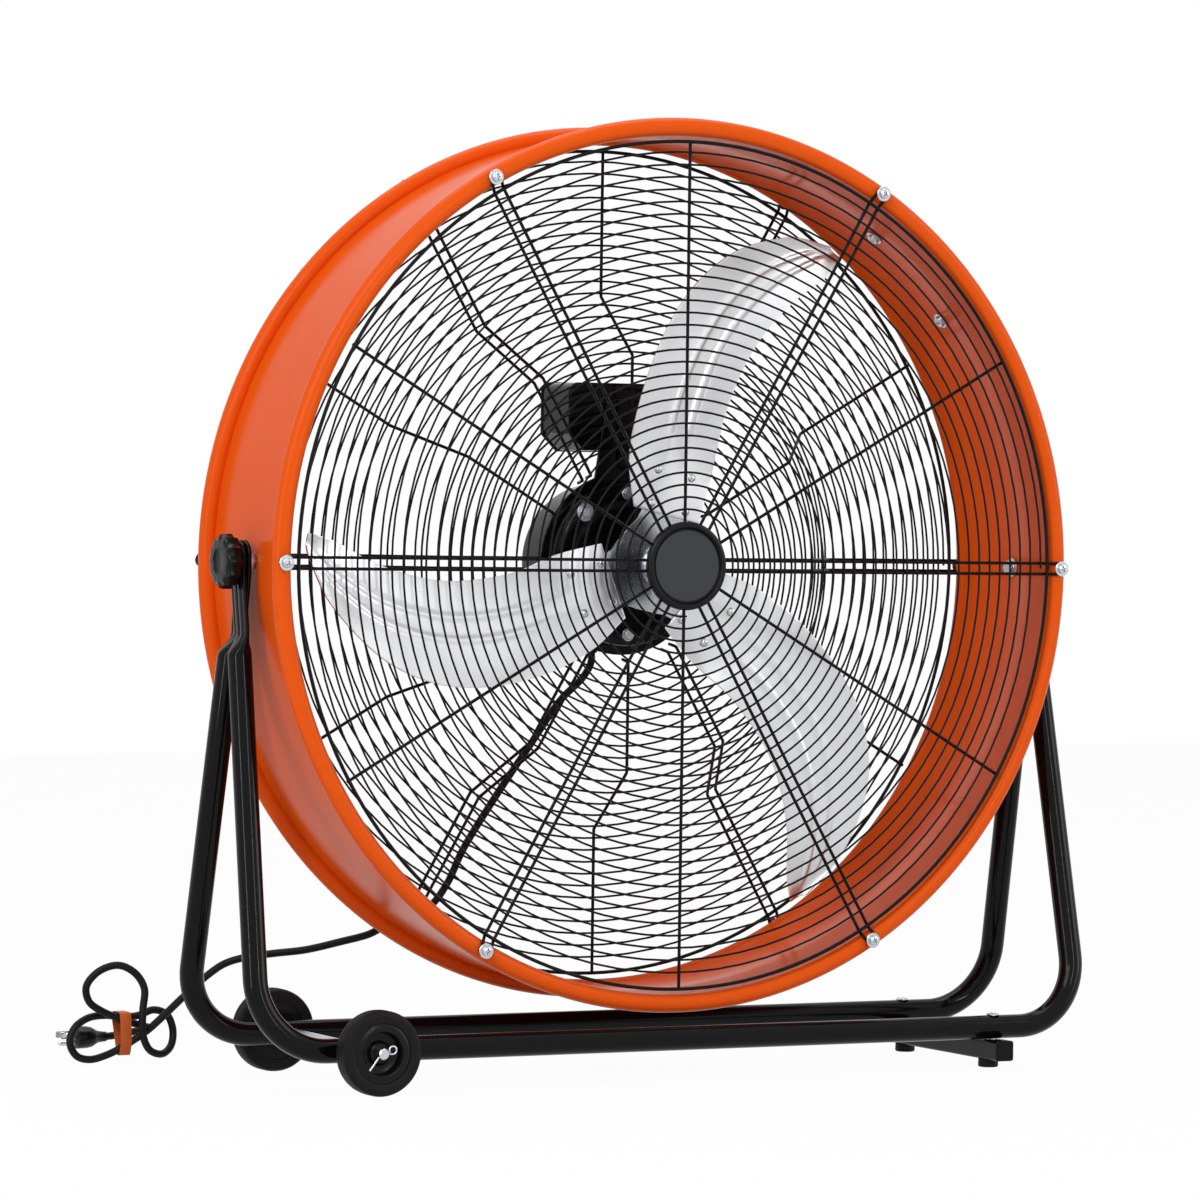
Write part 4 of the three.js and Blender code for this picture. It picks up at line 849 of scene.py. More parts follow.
def build_badge():
    radius = mm(bpy.context.scene.drum_fan_drum.badge_radius)
    back = grille_planes(-1)[1] - 1.5
    face = back - 6
    corner = 3.2
    rim = [(0, back), (radius, back), (radius, face + corner)]
    rim += arc((radius - corner, face + corner), corner, 0, -90, 8)
    rim += [(radius - 5.2, face + 0.4), (radius - 6.6, face + 2.6), (radius - 8.2, face + 2.8),
            (0, face + 2.8)]
    put(turned("Badge Bezel", rim, 96, lift=lift()), "black_plastic", "drum")
    disc = [(0, face + 3), (radius - 8.0, face + 3), (radius - 8.0, face + 1.7),
            (radius - 8.8, face + 1.1), (0, face + 1.1)]
    put(turned("Centre Badge", disc, 96, lift=lift()), "grey_plastic", "drum", "centre_badge")


# ---------------------------------------------------------------- rotor

LEADING_EDGE = [(47, -36), (92, -40), (150, -39.5), (213, -54), (265, -85), (300, -119), (322, -134)]
TRAILING_EDGE = [(47, 36), (86, 51.5), (128, 57), (172, 55), (216, 46), (259, 27), (299, -10),
                 (326, -68), (329, -118)]
LEADING_HEIGHT = [(0, -14), (0.5, -19), (1, -9)]
TRAILING_HEIGHT = [(0, -19), (0.25, -31), (0.5, -38.5), (0.75, -36), (1, -12)]
RIB_SHARES = (0.345, 0.56)
RIVETS = [(54, -19), (54, 19), (86, -19), (86, 19)]


# Where the blades lie on the spider, along the fan axis, and the layers there, in millimetres.
ROOT_PLANE = -17.5
BLADE_HALF = 0.8
ARM_GAP = 0.3
ARM_HALF = 1.5
CAMBER = 4
RIB_WIDTH = 3.2
RIVET_RADIUS = 4.2
RIVET_HEIGHT = 1.9


def root_height(u, v):
    """Height of a blade's middle surface near its root, where it lies on the spider."""
    return ROOT_PLANE - (0.055 + 0.0011 * max(u - 20, 0)) * v


def blade_point(along, across, rib_height):
    """A point of a blade's middle surface, from root to tip and from leading to trailing edge."""
    lead = spline_point(LEADING_EDGE, along)
    trail = spline_point(TRAILING_EDGE, along)
    flat = lead.lerp(trail, across)
    lead_y = spline_point(LEADING_HEIGHT, along).y
    trail_y = spline_point(TRAILING_HEIGHT, along).y
    y = blend_values(lead_y, trail_y, across)
    y += CAMBER * 4 * across * (1 - across) * min(1, along * 4)
    chord = (trail - lead).length
    fade = smooth_step(along, 0.08, 0.2) * (1 - smooth_step(along, 0.82, 0.94))
    for share in RIB_SHARES:
        apart = (across - share) * chord / RIB_WIDTH
        y -= rib_height * fade * math.exp(-apart * apart)
    y = blend_values(root_height(flat.x, flat.y), y, smooth_step(along, 0.12, 0.3))
    return Vector((flat.x, y, flat.y))


def about_axis(angle):
    """Turns a blade's own frame to its direction in the drum."""
    return Matrix.Translation((0, 0, lift())) @ Matrix.Rotation(-angle, 4, "Y")


def sheeted(obj, thickness, offset=0):
    """Gives a surface its sheet thickness, in metres."""
    sheet = obj.modifiers.new("Sheet", "SOLIDIFY")
    sheet.thickness = thickness
    sheet.offset = offset


def build_blades():
    rotor = bpy.context.scene.drum_fan_rotor
    rows, columns = 72, 56
    for i in range(rotor.blades):
        place = about_axis(rotor.direction + 2 * math.pi * i / rotor.blades)
        points = [place @ blade_point(row / (rows - 1), column / (columns - 1), mm(rotor.rib_height))
                  for row in range(rows) for column in range(columns)]
        blade = piece(f"Blade {i + 1}", points, grid_faces(rows, columns, closed_sides=False), sharp=60)
        sheeted(blade, rotor.sheet)
        soften(blade, 0.3, 60)
        put(blade, "aluminium", "rotor", f"blade_{i + 1}")
        heads = []
        for u, v in RIVETS:
            top = root_height(u, v) - BLADE_HALF
            dome = [(0, top - RIVET_HEIGHT)]
            dome += [(RIVET_RADIUS * math.sin(a), top - RIVET_HEIGHT * math.cos(a))
                     for a in (0.35, 0.7, 1.05, 1.3, 1.57)]
            heads.append(turned("Rivet", dome, 24, place @ Matrix.Translation((u, 0, v))))
        put(joined(f"Rivets {i + 1}", heads), "zinc_steel", "rotor")


ARM_ROWS = [(12, 40), (22, 37.5), (30, 33), (38, 27.5), (46, 25), (56, 24.2), (70, 24), (84, 24),
            (92, 23), (96, 20.5), (98, 17)]


def build_spider():
    rotor = bpy.context.scene.drum_fan_rotor
    back = ROOT_PLANE + BLADE_HALF + ARM_GAP
    parts = []
    columns = 17
    for i in range(rotor.blades):
        place = about_axis(rotor.direction + 2 * math.pi * i / rotor.blades)
        points = []
        for u, half in ARM_ROWS:
            for column in range(columns):
                v = half * (2 * column / (columns - 1) - 1)
                middle = blend_values(ROOT_PLANE, root_height(u, v), smooth_step(u, 20, 48))
                points.append(place @ Vector((u, middle + BLADE_HALF + ARM_GAP + ARM_HALF, v)))
        arm = piece("Arm", points, grid_faces(len(ARM_ROWS), columns, closed_sides=False))
        sheeted(arm, 3 * MM)
        parts.append(arm)
    radius = mm(rotor.shaft_radius) + 0.1
    boss = [(radius, -23), (13.5, -23), (15, -21.5), (15.5, back - 1), (18, back), (42, back),
            (42, back + 3), (18, back + 3), (15, back + 6), (15, 11), (14, 12), (radius, 12)]
    parts.append(turned("Boss", boss, 64, lift=lift(), closed=True))
    bpy.context.view_layer.update()
    put(joined("Hub Spider", parts), "zinc_steel", "rotor", "hub_spider")
    shaft = [(0, -26), (radius - 1, -26), (radius - 0.1, -25), (radius - 0.1, 68), (0, 68)]
    put(turned("Motor Shaft", shaft, 40, lift=lift()), "zinc_steel", "rotor", "motor_shaft")


# ---------------------------------------------------------------- motor and switch

# Directions of the motor bolts, in degrees, and faces along the fan axis.
MOTOR_BOLTS = (92, 134, 270)
BELL_FRONT = 38.0
BELL_REAR = 50.0
HOUSING_FRONT = 53.6


def build_motor():
    bell = [(7.4, 33), (15, 33), (19, 34), (22, 37), (24, 41), (30, 42.2), (50, 42), (56, 40.5),
            (60, BELL_FRONT), (72, BELL_FRONT), (75.5, 39.2), (77, 42), (77, BELL_REAR), (7.4, BELL_REAR)]
    end_bell = turned("Motor End Bell", bell, 120, lift=lift(), closed=True)
    put(end_bell, "black_enamel", "drum", "motor_end_bell")
    housing = [(0, 70), (7.35, 70), (7.35, HOUSING_FRONT), (74, HOUSING_FRONT)]
    housing += arc((65, 110), 9, 0, 90, 8)
    housing += [(0, 119)]
    put(turned("Motor Housing", housing, 120, lift=lift()), "black_enamel", "drum", "motor_housing")
    reach, neck, foot, top = 85, 30, 18, 154
    start = math.degrees(math.acos(neck / reach))
    outline = [(foot, top), (-foot, top)]
    outline += arc((0, 0), reach, 180 - start, 360 + start, 60)
    plate = slab("Motor Plate", outline, BELL_REAR + 0.3, HOUSING_FRONT - 0.3, lift(), 0.8)
    put(plate, "black_enamel", "drum", "motor_plate")
    for i, degrees in enumerate(MOTOR_BOLTS):
        at = polar(66, math.radians(degrees), BELL_FRONT - 0.1) + Vector((0, 0, lift()))
        place = Matrix.Translation(at) @ facing(-1)
        parts = [washer("Washer", 2.7, 8.5 if i == 1 else 6.0, 1.1, place),
                 hex_part("Head", 8.8, 3.4, shifted(place, 1.1)),
                 rod("Shank", 2.6, -14.5, 1.1, place)]
        put(joined(f"Motor Bolt {i + 1}", parts), "zinc_steel", "drum", f"motor_bolt_{i + 1}")


def box_outline(grow):
    half = 56 + grow
    low, high = 105 - grow, 168 + grow
    chamfer, turn = 16, 10
    outline = [(-half + chamfer, low), (half - chamfer, low), (half, low + chamfer)]
    outline += arc((half - turn, high - turn), turn, 0, 90, 8)
    outline += arc((-half + turn, high - turn), turn, 90, 180, 8)
    outline += [(-half, low + chamfer)]
    return outline


def build_switch():
    knob_height = 136.5
    box = slab("Switch Box", box_outline(0), HOUSING_FRONT, 108, lift(), 1.5)
    put(box, "black_enamel", "drum", "switch_box")
    cover = slab("Switch Box Cover", box_outline(1), 108.3, 111.8, lift(), 1.0)
    put(cover, "black_plastic", "drum", "switch_box_cover")
    skirt = [(0, 102), (4, 102), (4, 112.1), (18, 112.1), (18, 116), (17.4, 117.4), (16, 118.1),
             (0, 118.1)]
    base = turned("Skirt", skirt, 72, lift=lift() + knob_height)
    grip = [(-3.2, -14), (3.2, -14), (4.5, -11), (4.5, 11), (3.2, 14), (-3.2, 14), (-4.5, 11),
            (-4.5, -11)]
    bar = slab("Grip", grip, 117, 126.1, lift() + knob_height, 1.2)
    pointer = [(-0.5, 6), (0.5, 6), (0.5, 13), (-0.5, 13)]
    mark = slab("Pointer", pointer, 126, 126.3, lift() + knob_height, 0.05)
    bpy.context.view_layer.update()
    put(joined("Speed Knob", [base, bar, mark]), "black_plastic", "speed_switch", "speed_knob")


# ---------------------------------------------------------------- handle, pivots and hand knobs

HANDLE_ANGLE = math.radians(44.25)
HANDLE_PLACE = 10
HANDLE_BOLT = 53.5


def handle_foot(side):
    sheet = mm(bpy.context.scene.drum_fan_drum.sheet_radius)
    return HANDLE_ANGLE + side * math.asin(HANDLE_BOLT / sheet)


def outward(angle, y):
    """Places a turned part with its Y axis pointing out of the drum."""
    turn = Matrix.Rotation(-angle, 4, "Y") @ Matrix.Rotation(-math.pi / 2, 4, "Z")
    return Matrix.Translation((0, y, lift())) @ turn


def build_handle():
    sheet = mm(bpy.context.scene.drum_fan_drum.sheet_radius)
    out, beside = polar(1, HANDLE_ANGLE, 0), polar(1, HANDLE_ANGLE + math.pi / 2, 0)
    lean = math.asin(HANDLE_BOLT / sheet)
    foot_end, foot_start, grip_half, grip_rise = 62.5, 44.5, 36.5, 36

    def at(along, away):
        return Vector((0, HANDLE_PLACE, 0)) + out * away + beside * along

    def foot_away(along):
        return (sheet + 2.3 - abs(along) * math.sin(lean)) / math.cos(lean)

    corners = [at(-foot_end, foot_away(foot_end)), at(-foot_start, foot_away(foot_start)),
               at(-grip_half, sheet + grip_rise), at(grip_half, sheet + grip_rise),
               at(foot_start, foot_away(foot_start)), at(foot_end, foot_away(foot_end))]
    path = rounded(corners, 8, 10)
    section = [(-10, -1.2), (-9.2, -2), (9.2, -2), (10, -1.2), (10, 1.2), (9.2, 2), (-9.2, 2), (-10, 1.2)]
    handle = sweep("Carry Handle", path, lambda i: section, lift=lift())
    put(handle, "black_enamel", "drum", "carry_handle")
    for i, side in enumerate((-1, 1)):
        place = outward(handle_foot(side), HANDLE_PLACE)
        inside = shifted(place, sheet - 3.4)
        parts = [washer("Inner Washer", 3.1, 8, 1.2, inside),
                 pan_head("Inner Head", 5.6, 3.8, inside @ facing(-1)),
                 hex_part("Nut", 9.5, 4, shifted(place, sheet + 7)),
                 rod("Shank", 3, sheet - 4, sheet + 13, place)]
        put(joined(f"Handle Bolt {i + 1}", parts), "zinc_steel", "drum", f"handle_bolt_{i + 1}")


# Places of the hand knobs and of the pivot bolts' ends, out from the fan axis.
KNOB_FACE = 414.1
KNOB_THICKNESS = 16.5
KNOB_BITE = 2.8
KNOB_LOBES = 12
PIVOT_BOLT_END = 424


def build_pivots():
    stand = bpy.context.scene.drum_fan_stand
    sheet = mm(bpy.context.scene.drum_fan_drum.sheet_radius)
    radius = mm(stand.knob_radius)
    profile = [(4.2, KNOB_FACE), (13, KNOB_FACE), (14, KNOB_FACE + 1.5), (radius - 4, KNOB_FACE + 2),
               (radius - 1.2, KNOB_FACE + 2.6), (radius, KNOB_FACE + 4)]
    top = [(radius, 4), (radius - 0.8, 1.6), (radius - 3, 0.3), (radius - 5, 0), (12.5, 0),
           (11.5, 1.2), (9.5, 2.0), (0, 2.2)]
    profile += [(reach, KNOB_FACE + KNOB_THICKNESS - below) for reach, below in top]
    for side, angle in (("left", math.pi), ("right", 0.0)):
        place = outward(angle, 0)
        inside = shifted(place, sheet - 3.5)
        parts = [washer("Inner Washer", 4.1, 9.0, 1.3, inside),
                 hex_part("Inner Head", 13, 5, inside @ facing(-1)),
                 hex_part("Nut", 13, 6.4, shifted(place, sheet + 0.2)),
                 rod("Shank", 4, sheet - 6, PIVOT_BOLT_END, place)]
        put(joined(f"Pivot Bolt {side.title()}", parts), "zinc_steel", "drum", f"pivot_bolt_{side}")
        knob = turned(f"Hand Knob {side.title()}", profile, 240, place, sharp=40,
                      shape=lobed(radius, KNOB_BITE, KNOB_LOBES))
        put(knob, "black_plastic", f"{side}_knob", f"knob_{side}")


# ---------------------------------------------------------------- stand

TAB_PLANE = 408.5
PINCH = 385.0
LEG_LEAN = 0.0249
BOTTOM_HALF_WIDTH = 422.4
TAB_HALF_WIDTH = 14.5
TAB_RISE = 4.5
TUBE_GAP = 0.3


def tube_section(flat, half_thickness, half_width, radius):
    """Outline of a tube, round at flat 0 and pressed with flutes on its outer face at flat 1."""
    sides = 48
    squareness, flute_depth, flute_reach, flute_waves = 0.35, 1.0, 0.85, 1.6
    outline = []
    for i in range(sides):
        angle = 2 * math.pi * i / sides
        away, beside = math.cos(angle), math.sin(angle)
        bulge = math.copysign(abs(away) ** squareness, away) * half_thickness
        flute = 0.0
        if away > 0 and abs(beside) < flute_reach:
            flute = flute_depth * max(0.0, math.cos(beside * 2 * math.pi * flute_waves)) ** 2
        outline.append((blend_values(away * radius, bulge - flute, flat),
                        blend_values(beside * radius, beside * half_width, flat)))
    return outline


def build_tube(name, side, node):
    stand = bpy.context.scene.drum_fan_stand
    radius, bottom = mm(stand.tube_radius), mm(stand.bottom_height)
    depth = mm(stand.half_depth)
    spread = (depth - radius - TUBE_GAP) / (PINCH - bottom)
    tab_shift = -side * (0.25 + 2.5)
    tab_end = lift() + TAB_HALF_WIDTH + TAB_RISE

    def leg_reach(z):
        return BOTTOM_HALF_WIDTH - LEG_LEAN * (z - bottom)

    def leg(across, z):
        return Vector((across * leg_reach(z), side * (depth - spread * (z - bottom)), z))

    def tab(across):
        """The pressed end of a leg, from the place where the two tubes meet up to its round top."""
        result = []
        for step in range(49):
            z = PINCH + (tab_end - PINCH) * step / 48
            flat = smooth_step(z, PINCH - 1, PINCH + 20)
            width = blend_values(radius, TAB_HALF_WIDTH, smooth_step(z, PINCH, PINCH + 30))
            beyond = max(0.0, z - (lift() + TAB_RISE))
            width *= math.sqrt(max(0.02, 1 - (beyond / 14.6) ** 2))
            near = min(max((z - PINCH - 14) / 58, 0), 1)
            y = side * blend_values(radius + TUBE_GAP, 0, near)
            plane = blend_values(leg_reach(z), TAB_PLANE + tab_shift, flat)
            centre = Vector((across * plane, y, z))
            section = tube_section(flat, 2.4, width, radius)
            result.append([centre + Vector((across * out, beside, 0)) for out, beside in section])
        return result

    rings = []
    corners = [leg(-1, PINCH), leg(-1, bottom), leg(1, bottom), leg(1, PINCH)]
    path = rounded(corners, mm(stand.corner_radius), 20)
    for before, point, after in zip(path, path[1:], path[2:]):
        tangent = (after - before).normalized()
        out = Vector((0, 1, 0)).cross(tangent).normalized()
        beside = tangent.cross(out)
        rings.append([point + out * a + beside * b for a, b in tube_section(0, 0, 0, radius)])
    rings = tab(-1)[::-1] + rings + tab(1)
    sides = len(rings[0])
    points = [point for ring in rings for point in ring]
    faces = grid_faces(len(rings), sides)
    faces += [tuple(range(sides)), tuple(range(len(points) - sides, len(points)))]
    put(piece(name, points, faces, sharp=50), "black_enamel", "stand", node)


def build_foot():
    stand = bpy.context.scene.drum_fan_stand
    x = mm(stand.foot_x)
    tube_bottom = mm(stand.bottom_height) - mm(stand.tube_radius)
    tube_top = mm(stand.bottom_height) + mm(stand.tube_radius)
    top = tube_bottom - TUBE_GAP
    bottom = top - 19
    half, turn, bar_half, pad_place = 9.5, 2.5, 107, 77
    outline = []
    for sx, sz, start in ((1, -1, -90), (1, 1, 0), (-1, 1, 90), (-1, -1, 180)):
        middle = (x + sx * (half - turn), (top + bottom) / 2 + sz * (half - turn))
        outline += arc(middle, turn, start, start + 90, 6)
    put(slab("Foot Bar", outline, -bar_half, bar_half, 0, 0.8), "black_enamel", "stand", "foot_bar")
    upright = Matrix.Rotation(math.pi / 2, 4, "X")
    pad = [(0, 0), (8.2, 0), (9.2, 0.6), (9.5, 1.6), (9.3, bottom - 0.1), (3, bottom - 0.1),
           (3, bottom + 3), (0, bottom + 3)]
    for name, side in (("front", -1), ("rear", 1)):
        place = Matrix.Translation((x, side * pad_place, 0)) @ upright
        put(turned(f"Foot Pad {name.title()}", pad, 48, place), "black_rubber", "stand", f"foot_pad_{name}")
        head = Matrix.Translation((x, side * mm(stand.half_depth), tube_top + 0.1)) @ upright
        parts = [washer("Saddle", 3.2, 6.4, 0.5, head), rod("Shank", 3, -30, 1, head),
                 pan_head("Head", 5.4, 1.9, shifted(head, 0.3), slot_depth=1.2)]
        put(joined(f"Bar Screw {name.title()}", parts), "zinc_steel", "stand", f"bar_screw_{name}")


def build_wheels():
    stand = bpy.context.scene.drum_fan_stand
    x, height, radius = mm(stand.wheel_x), mm(stand.bottom_height), mm(stand.wheel_radius)
    axle_half, pin_place = 128, 123
    axle = [(0, -axle_half), (4, -axle_half), (5, 1 - axle_half), (5, axle_half - 1), (4, axle_half),
            (0, axle_half)]
    centre = Matrix.Translation((x, 0, height))
    put(turned("Axle", axle, 32, centre), "zinc_steel", "stand", "axle")
    tread = [(27, 105.3), (33, 105), (36.2, 105.6), (37.6, 107.5), (radius, 111)]
    for groove in (112, 118):
        tread += [(radius, groove - 0.9), (radius - 1.5, groove), (radius, groove + 0.9)]
    tread += [(radius, 121.5), (37.2, 123.6), (35.4, 124.8), (33, 125), (28.5, 124.7), (27, 124.2)]
    hub = [(5.1, 95.4), (10, 95.4), (11, 108), (26.7, 107), (26.7, 123.6), (25.5, 124.2), (21, 125),
           (19.6, 124.6), (18.6, 123), (18, 115.6), (17, 115), (11.5, 115), (10.2, 116), (9.6, 118.4),
           (8.6, 119.2), (5.1, 119.2)]
    bend = [Vector((-15.5, 0, -19)), Vector((-3.5, 0, -3)), Vector((1, 0, 0)), Vector((9.5, 0, -0.5))]
    eye = [Vector((10, 0, 3)) + 3.5 * Vector((math.cos(math.radians(a)), 0, math.sin(math.radians(a))))
           for a in range(-75, 211, 15)]
    loop = rounded(bend, 3, 4) + eye
    for name, side in (("front", -1), ("rear", 1)):
        place = centre @ facing(side)
        tyre = turned(f"Tyre {name.title()}", tread, 96, place, closed=True)
        put(tyre, "black_rubber", f"{name}_wheel", f"tyre_{name}")
        wheel = turned(f"Wheel {name.title()}", hub, 96, place, closed=True)
        put(wheel, "black_plastic", f"{name}_wheel", f"wheel_{name}")
        through = Matrix.Translation((x, side * pin_place, height))
        pin = wires(f"Split Pin {name.title()}", [([through @ point for point in loop], False)], 0.95)
        put(pin, "zinc_steel", "stand", f"split_pin_{name}")


# ---------------------------------------------------------------- cord

def smooth_route(route, spacing):
    """Evenly spaced points, in millimetres, on a centripetal spline through a route in metres."""
    points = [Vector(point) / MM for point in route]
    dense = []
    for i in range(len(points) - 1):
        p1, p2 = points[i], points[i + 1]
        p0 = points[i - 1] if i > 0 else p1 * 2 - p2
        p3 = points[i + 2] if i + 2 < len(points) else p2 * 2 - p1
        knots = [0.0]
        for a, b in ((p0, p1), (p1, p2), (p2, p3)):
            knots.append(knots[-1] + max((b - a).length, 1e-6) ** 0.5)
        t0, t1, t2, t3 = knots
        for step in range(24):
            t = t1 + (t2 - t1) * step / 24
            a1 = p0 * ((t1 - t) / (t1 - t0)) + p1 * ((t - t0) / (t1 - t0))
            a2 = p1 * ((t2 - t) / (t2 - t1)) + p2 * ((t - t1) / (t2 - t1))
            a3 = p2 * ((t3 - t) / (t3 - t2)) + p3 * ((t - t2) / (t3 - t2))
            b1 = a1 * ((t2 - t) / (t2 - t0)) + a2 * ((t - t0) / (t2 - t0))
            b2 = a2 * ((t3 - t) / (t3 - t1)) + a3 * ((t - t1) / (t3 - t1))
            dense.append(b1 * ((t2 - t) / (t2 - t1)) + b2 * ((t - t1) / (t2 - t1)))
    dense.append(points[-1])
    lengths = [0.0]
    for a, b in zip(dense, dense[1:]):
        lengths.append(lengths[-1] + (b - a).length)
    count = max(2, round(lengths[-1] / spacing))
    result = []
    index = 0
    for step in range(count + 1):
        target = lengths[-1] * step / count
        while index < len(dense) - 2 and lengths[index + 1] < target:
            index += 1
        share = (target - lengths[index]) / max(lengths[index + 1] - lengths[index], 1e-9)
        result.append(dense[index].lerp(dense[index + 1], min(max(share, 0), 1)))
    return result


def cord_tube(name, route):
    radius = mm(bpy.context.scene.drum_fan_look.cord_radius)
    section = circle(radius, 20)
    return sweep(name, route, lambda i: section, up=Vector((0, 0.2, 1)))


def outline_round(points):
    """The convex outline round a set of (a, b) points, anticlockwise."""
    ordered = sorted(points)

    def half(line):
        chain = []
        for point in line:
            while len(chain) > 1:
                (ax, ay), (bx, by) = chain[-2:]
                if (bx - ax) * (point[1] - ay) - (by - ay) * (point[0] - ax) > 0:
                    break
                chain.pop()
            chain.append(point)
        return chain[:-1]

    return half(ordered) + half(ordered[::-1])


def build_tie(route):
    """A flat band drawn round the strands that run side by side."""
    start, width, reach = -430.0, 11.0, 3
    clear = mm(bpy.context.scene.drum_fan_look.cord_radius) + 0.9
    strands = [p for p in route if start - reach < p.x < start + width + reach and p.y < 240 and p.z < 60]
    ring = outline_round([(p.y + clear * math.cos(i * math.pi / 12), p.z + clear * math.sin(i * math.pi / 12))
                          for p in strands for i in range(24)])
    points = [Vector((start + width * share, a, b)) for share in (0, 0.5, 1) for a, b in ring]
    band = piece("Band", points, grid_faces(3, len(ring)))
    wall = band.modifiers.new("Wall", "SOLIDIFY")
    wall.thickness = 0.6 * MM
    wall.offset = -1
    soften(band, 0.2)
    return band


def build_plug():
    at = Vector((-424.4, 265.5, 21))
    sides, back, pin_half_apart, earth_drop = 40, -29, 6.35, 5
    stations = [(0, 4.6, 4.6), (3, 4.9, 4.8), (8, 6.2, 5.6), (12, 9.5, 7.6), (15, 11.8, 9.4),
                (20, 12.8, 10.3), (29, 13, 10.5), (30.5, 12.6, 10.1), (31, 11.8, 9.4)]
    points = []
    for x, half_y, half_z in stations:
        for i in range(sides):
            angle = 2 * math.pi * i / sides
            points.append(at + Vector((-x, half_y * math.cos(angle), half_z * math.sin(angle))))
    faces = grid_faces(len(stations), sides)
    faces += [tuple(range(sides)), tuple(range(len(points) - sides, len(points)))]
    body = put(piece("Plug Body", points, faces), "black_plastic", "stand", "plug")
    outline = [(-47.2, 0), (-46, -0.5), (back, -0.5), (back, 5.6), (-46, 5.6), (-47.2, 5.0)]
    parts = []
    for y in (-pin_half_apart, pin_half_apart):
        place = Matrix.Translation(at + Vector((0, y, 0)))
        parts.append(slab("Blade Pin", outline, -0.75, 0.75, 0, 0.25, place))
    along_x = Matrix.Rotation(math.pi / 2, 4, "Z")
    earth = Matrix.Translation(at + Vector((back, 0, -earth_drop))) @ along_x
    parts.append(turned("Round Pin", [(0, -1), (2.4, -1), (2.4, 16), (1.6, 17.6), (0, 18)], 24, earth))
    bpy.context.view_layer.update()
    pins = put(joined("Plug Pins", parts), "black_plastic", "stand", material=finishes().nickel)
    return body, pins


def build_cord():
    held = smooth_route(HELD_ROUTE, 3.0)
    put(cord_tube("Cord on Grille", held), "cord_jacket", "drum", "cord_on_grille")
    route = smooth_route(LEAD_ROUTE + BUNDLE_ROUTE, 2.0)
    free = cord_tube("Free Cord", route)
    finishes().apply(free, "cord_jacket", None, ("cord_lead", "cord_bundle"))
    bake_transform(free)
    tie = put(build_tie(route), "tie_paper", "stand", "cord_tie")
    body, pins = build_plug()
    keep("black_plastic", "cable_gland")
    keep("zinc_steel", "cord_clip", width=0.2)


# ---------------------------------------------------------------- stage

def seen_white(tree):
    """1 for the rays of the camera, of reflections and of see-through surfaces."""
    path = tree.nodes.new("ShaderNodeLightPath")
    socket = path.outputs["Is Camera Ray"]
    for name in ("Is Glossy Ray", "Is Transmission Ray"):
        either = tree.nodes.new("ShaderNodeMath")
        either.operation = "MAXIMUM"
        tree.links.new(socket, either.inputs[0])
        tree.links.new(path.outputs[name], either.inputs[1])
        socket = either.outputs[0]
    return socket


# How much of the floor's colour the camera sees as plain white, and the strength of the soft light.
FLOOR_WHITE = 0.96
SOFT_LIGHT = 0.3


def stage_material(name, white):
    """Pale matt surface that shows as nearly plain white and keeps a soft shadow."""
    material, shader = bare_material(name)
    tree = material.node_tree
    tint = use_group(material, finishes().tint, {
        "Dark": (0.78, 0.78, 0.78, 1), "Light": (0.8, 0.8, 0.8, 1), "Scale": 2.0})
    tree.links.new(tint.outputs["Color"], shader.inputs["Base Color"])
    shader.inputs["Roughness"].default_value = 0.9
    if white:
        share = tree.nodes.new("ShaderNodeMath")
        share.operation = "MULTIPLY"
        share.inputs[1].default_value = FLOOR_WHITE
        tree.links.new(seen_white(tree), share.inputs[0])
        glow = tree.nodes.new("ShaderNodeEmission")
        mix = tree.nodes.new("ShaderNodeMixShader")
        tree.links.new(share.outputs[0], mix.inputs["Fac"])
        tree.links.new(shader.outputs["BSDF"], mix.inputs[1])
        tree.links.new(glow.outputs["Emission"], mix.inputs[2])
        tree.links.new(mix.outputs["Shader"], tree.nodes["Material Output"].inputs["Surface"])
    return material


def area_light(name, place, target, size, power):
    light = bpy.data.lights.new(name, "AREA")
    light.shape = "RECTANGLE"
    light.size, light.size_y = size
    light.energy = power
    obj = linked(name, light)
    obj.location = place
    obj.rotation_euler = (Vector(target) - Vector(place)).to_track_quat("-Z", "Y").to_euler()


def build_world(white):
    world = bpy.data.worlds.new("Studio")
    world.use_nodes = True
    tree = world.node_tree
    soft = tree.nodes["Background"]
    soft.inputs["Color"].default_value = (1, 1, 1, 1)
    soft.inputs["Strength"].default_value = SOFT_LIGHT
    if white:
        plain = tree.nodes.new("ShaderNodeBackground")
        plain.inputs["Color"].default_value = (1, 1, 1, 1)
        mix = tree.nodes.new("ShaderNodeMixShader")
        tree.links.new(seen_white(tree), mix.inputs["Fac"])
        tree.links.new(soft.outputs["Background"], mix.inputs[1])
        tree.links.new(plain.outputs["Background"], mix.inputs[2])
        tree.links.new(mix.outputs["Shader"], tree.nodes["World Output"].inputs["Surface"])
    bpy.context.scene.world = world


# The camera, in metres, with its lens in millimetres.
CAMERA_PLACE = (-2.3740, -4.5142, 0.5236)
CAMERA_TARGET = (-0.04896, 0, 0.43515)
CAMERA_LENS = 165.756
CAMERA_ROLL = math.radians(0.774)


def build_camera():
    camera = bpy.data.cameras.new("Camera")
    camera.lens = CAMERA_LENS
    camera.sensor_width = 36.0
    camera.clip_end = 50.0
    obj = linked("Camera", camera)
    place = Vector(CAMERA_PLACE)
    forward = (Vector(CAMERA_TARGET) - place).normalized()
    right = forward.cross(Vector((0, 0, 1))).normalized()
    up = right.cross(forward)
    side = right * math.cos(CAMERA_ROLL) + up * math.sin(CAMERA_ROLL)
    top = up * math.cos(CAMERA_ROLL) - right * math.sin(CAMERA_ROLL)
    turn = Matrix((side, top, -forward)).transposed().to_4x4()
    obj.matrix_world = Matrix.Translation(place) @ turn
    bpy.context.scene.camera = obj


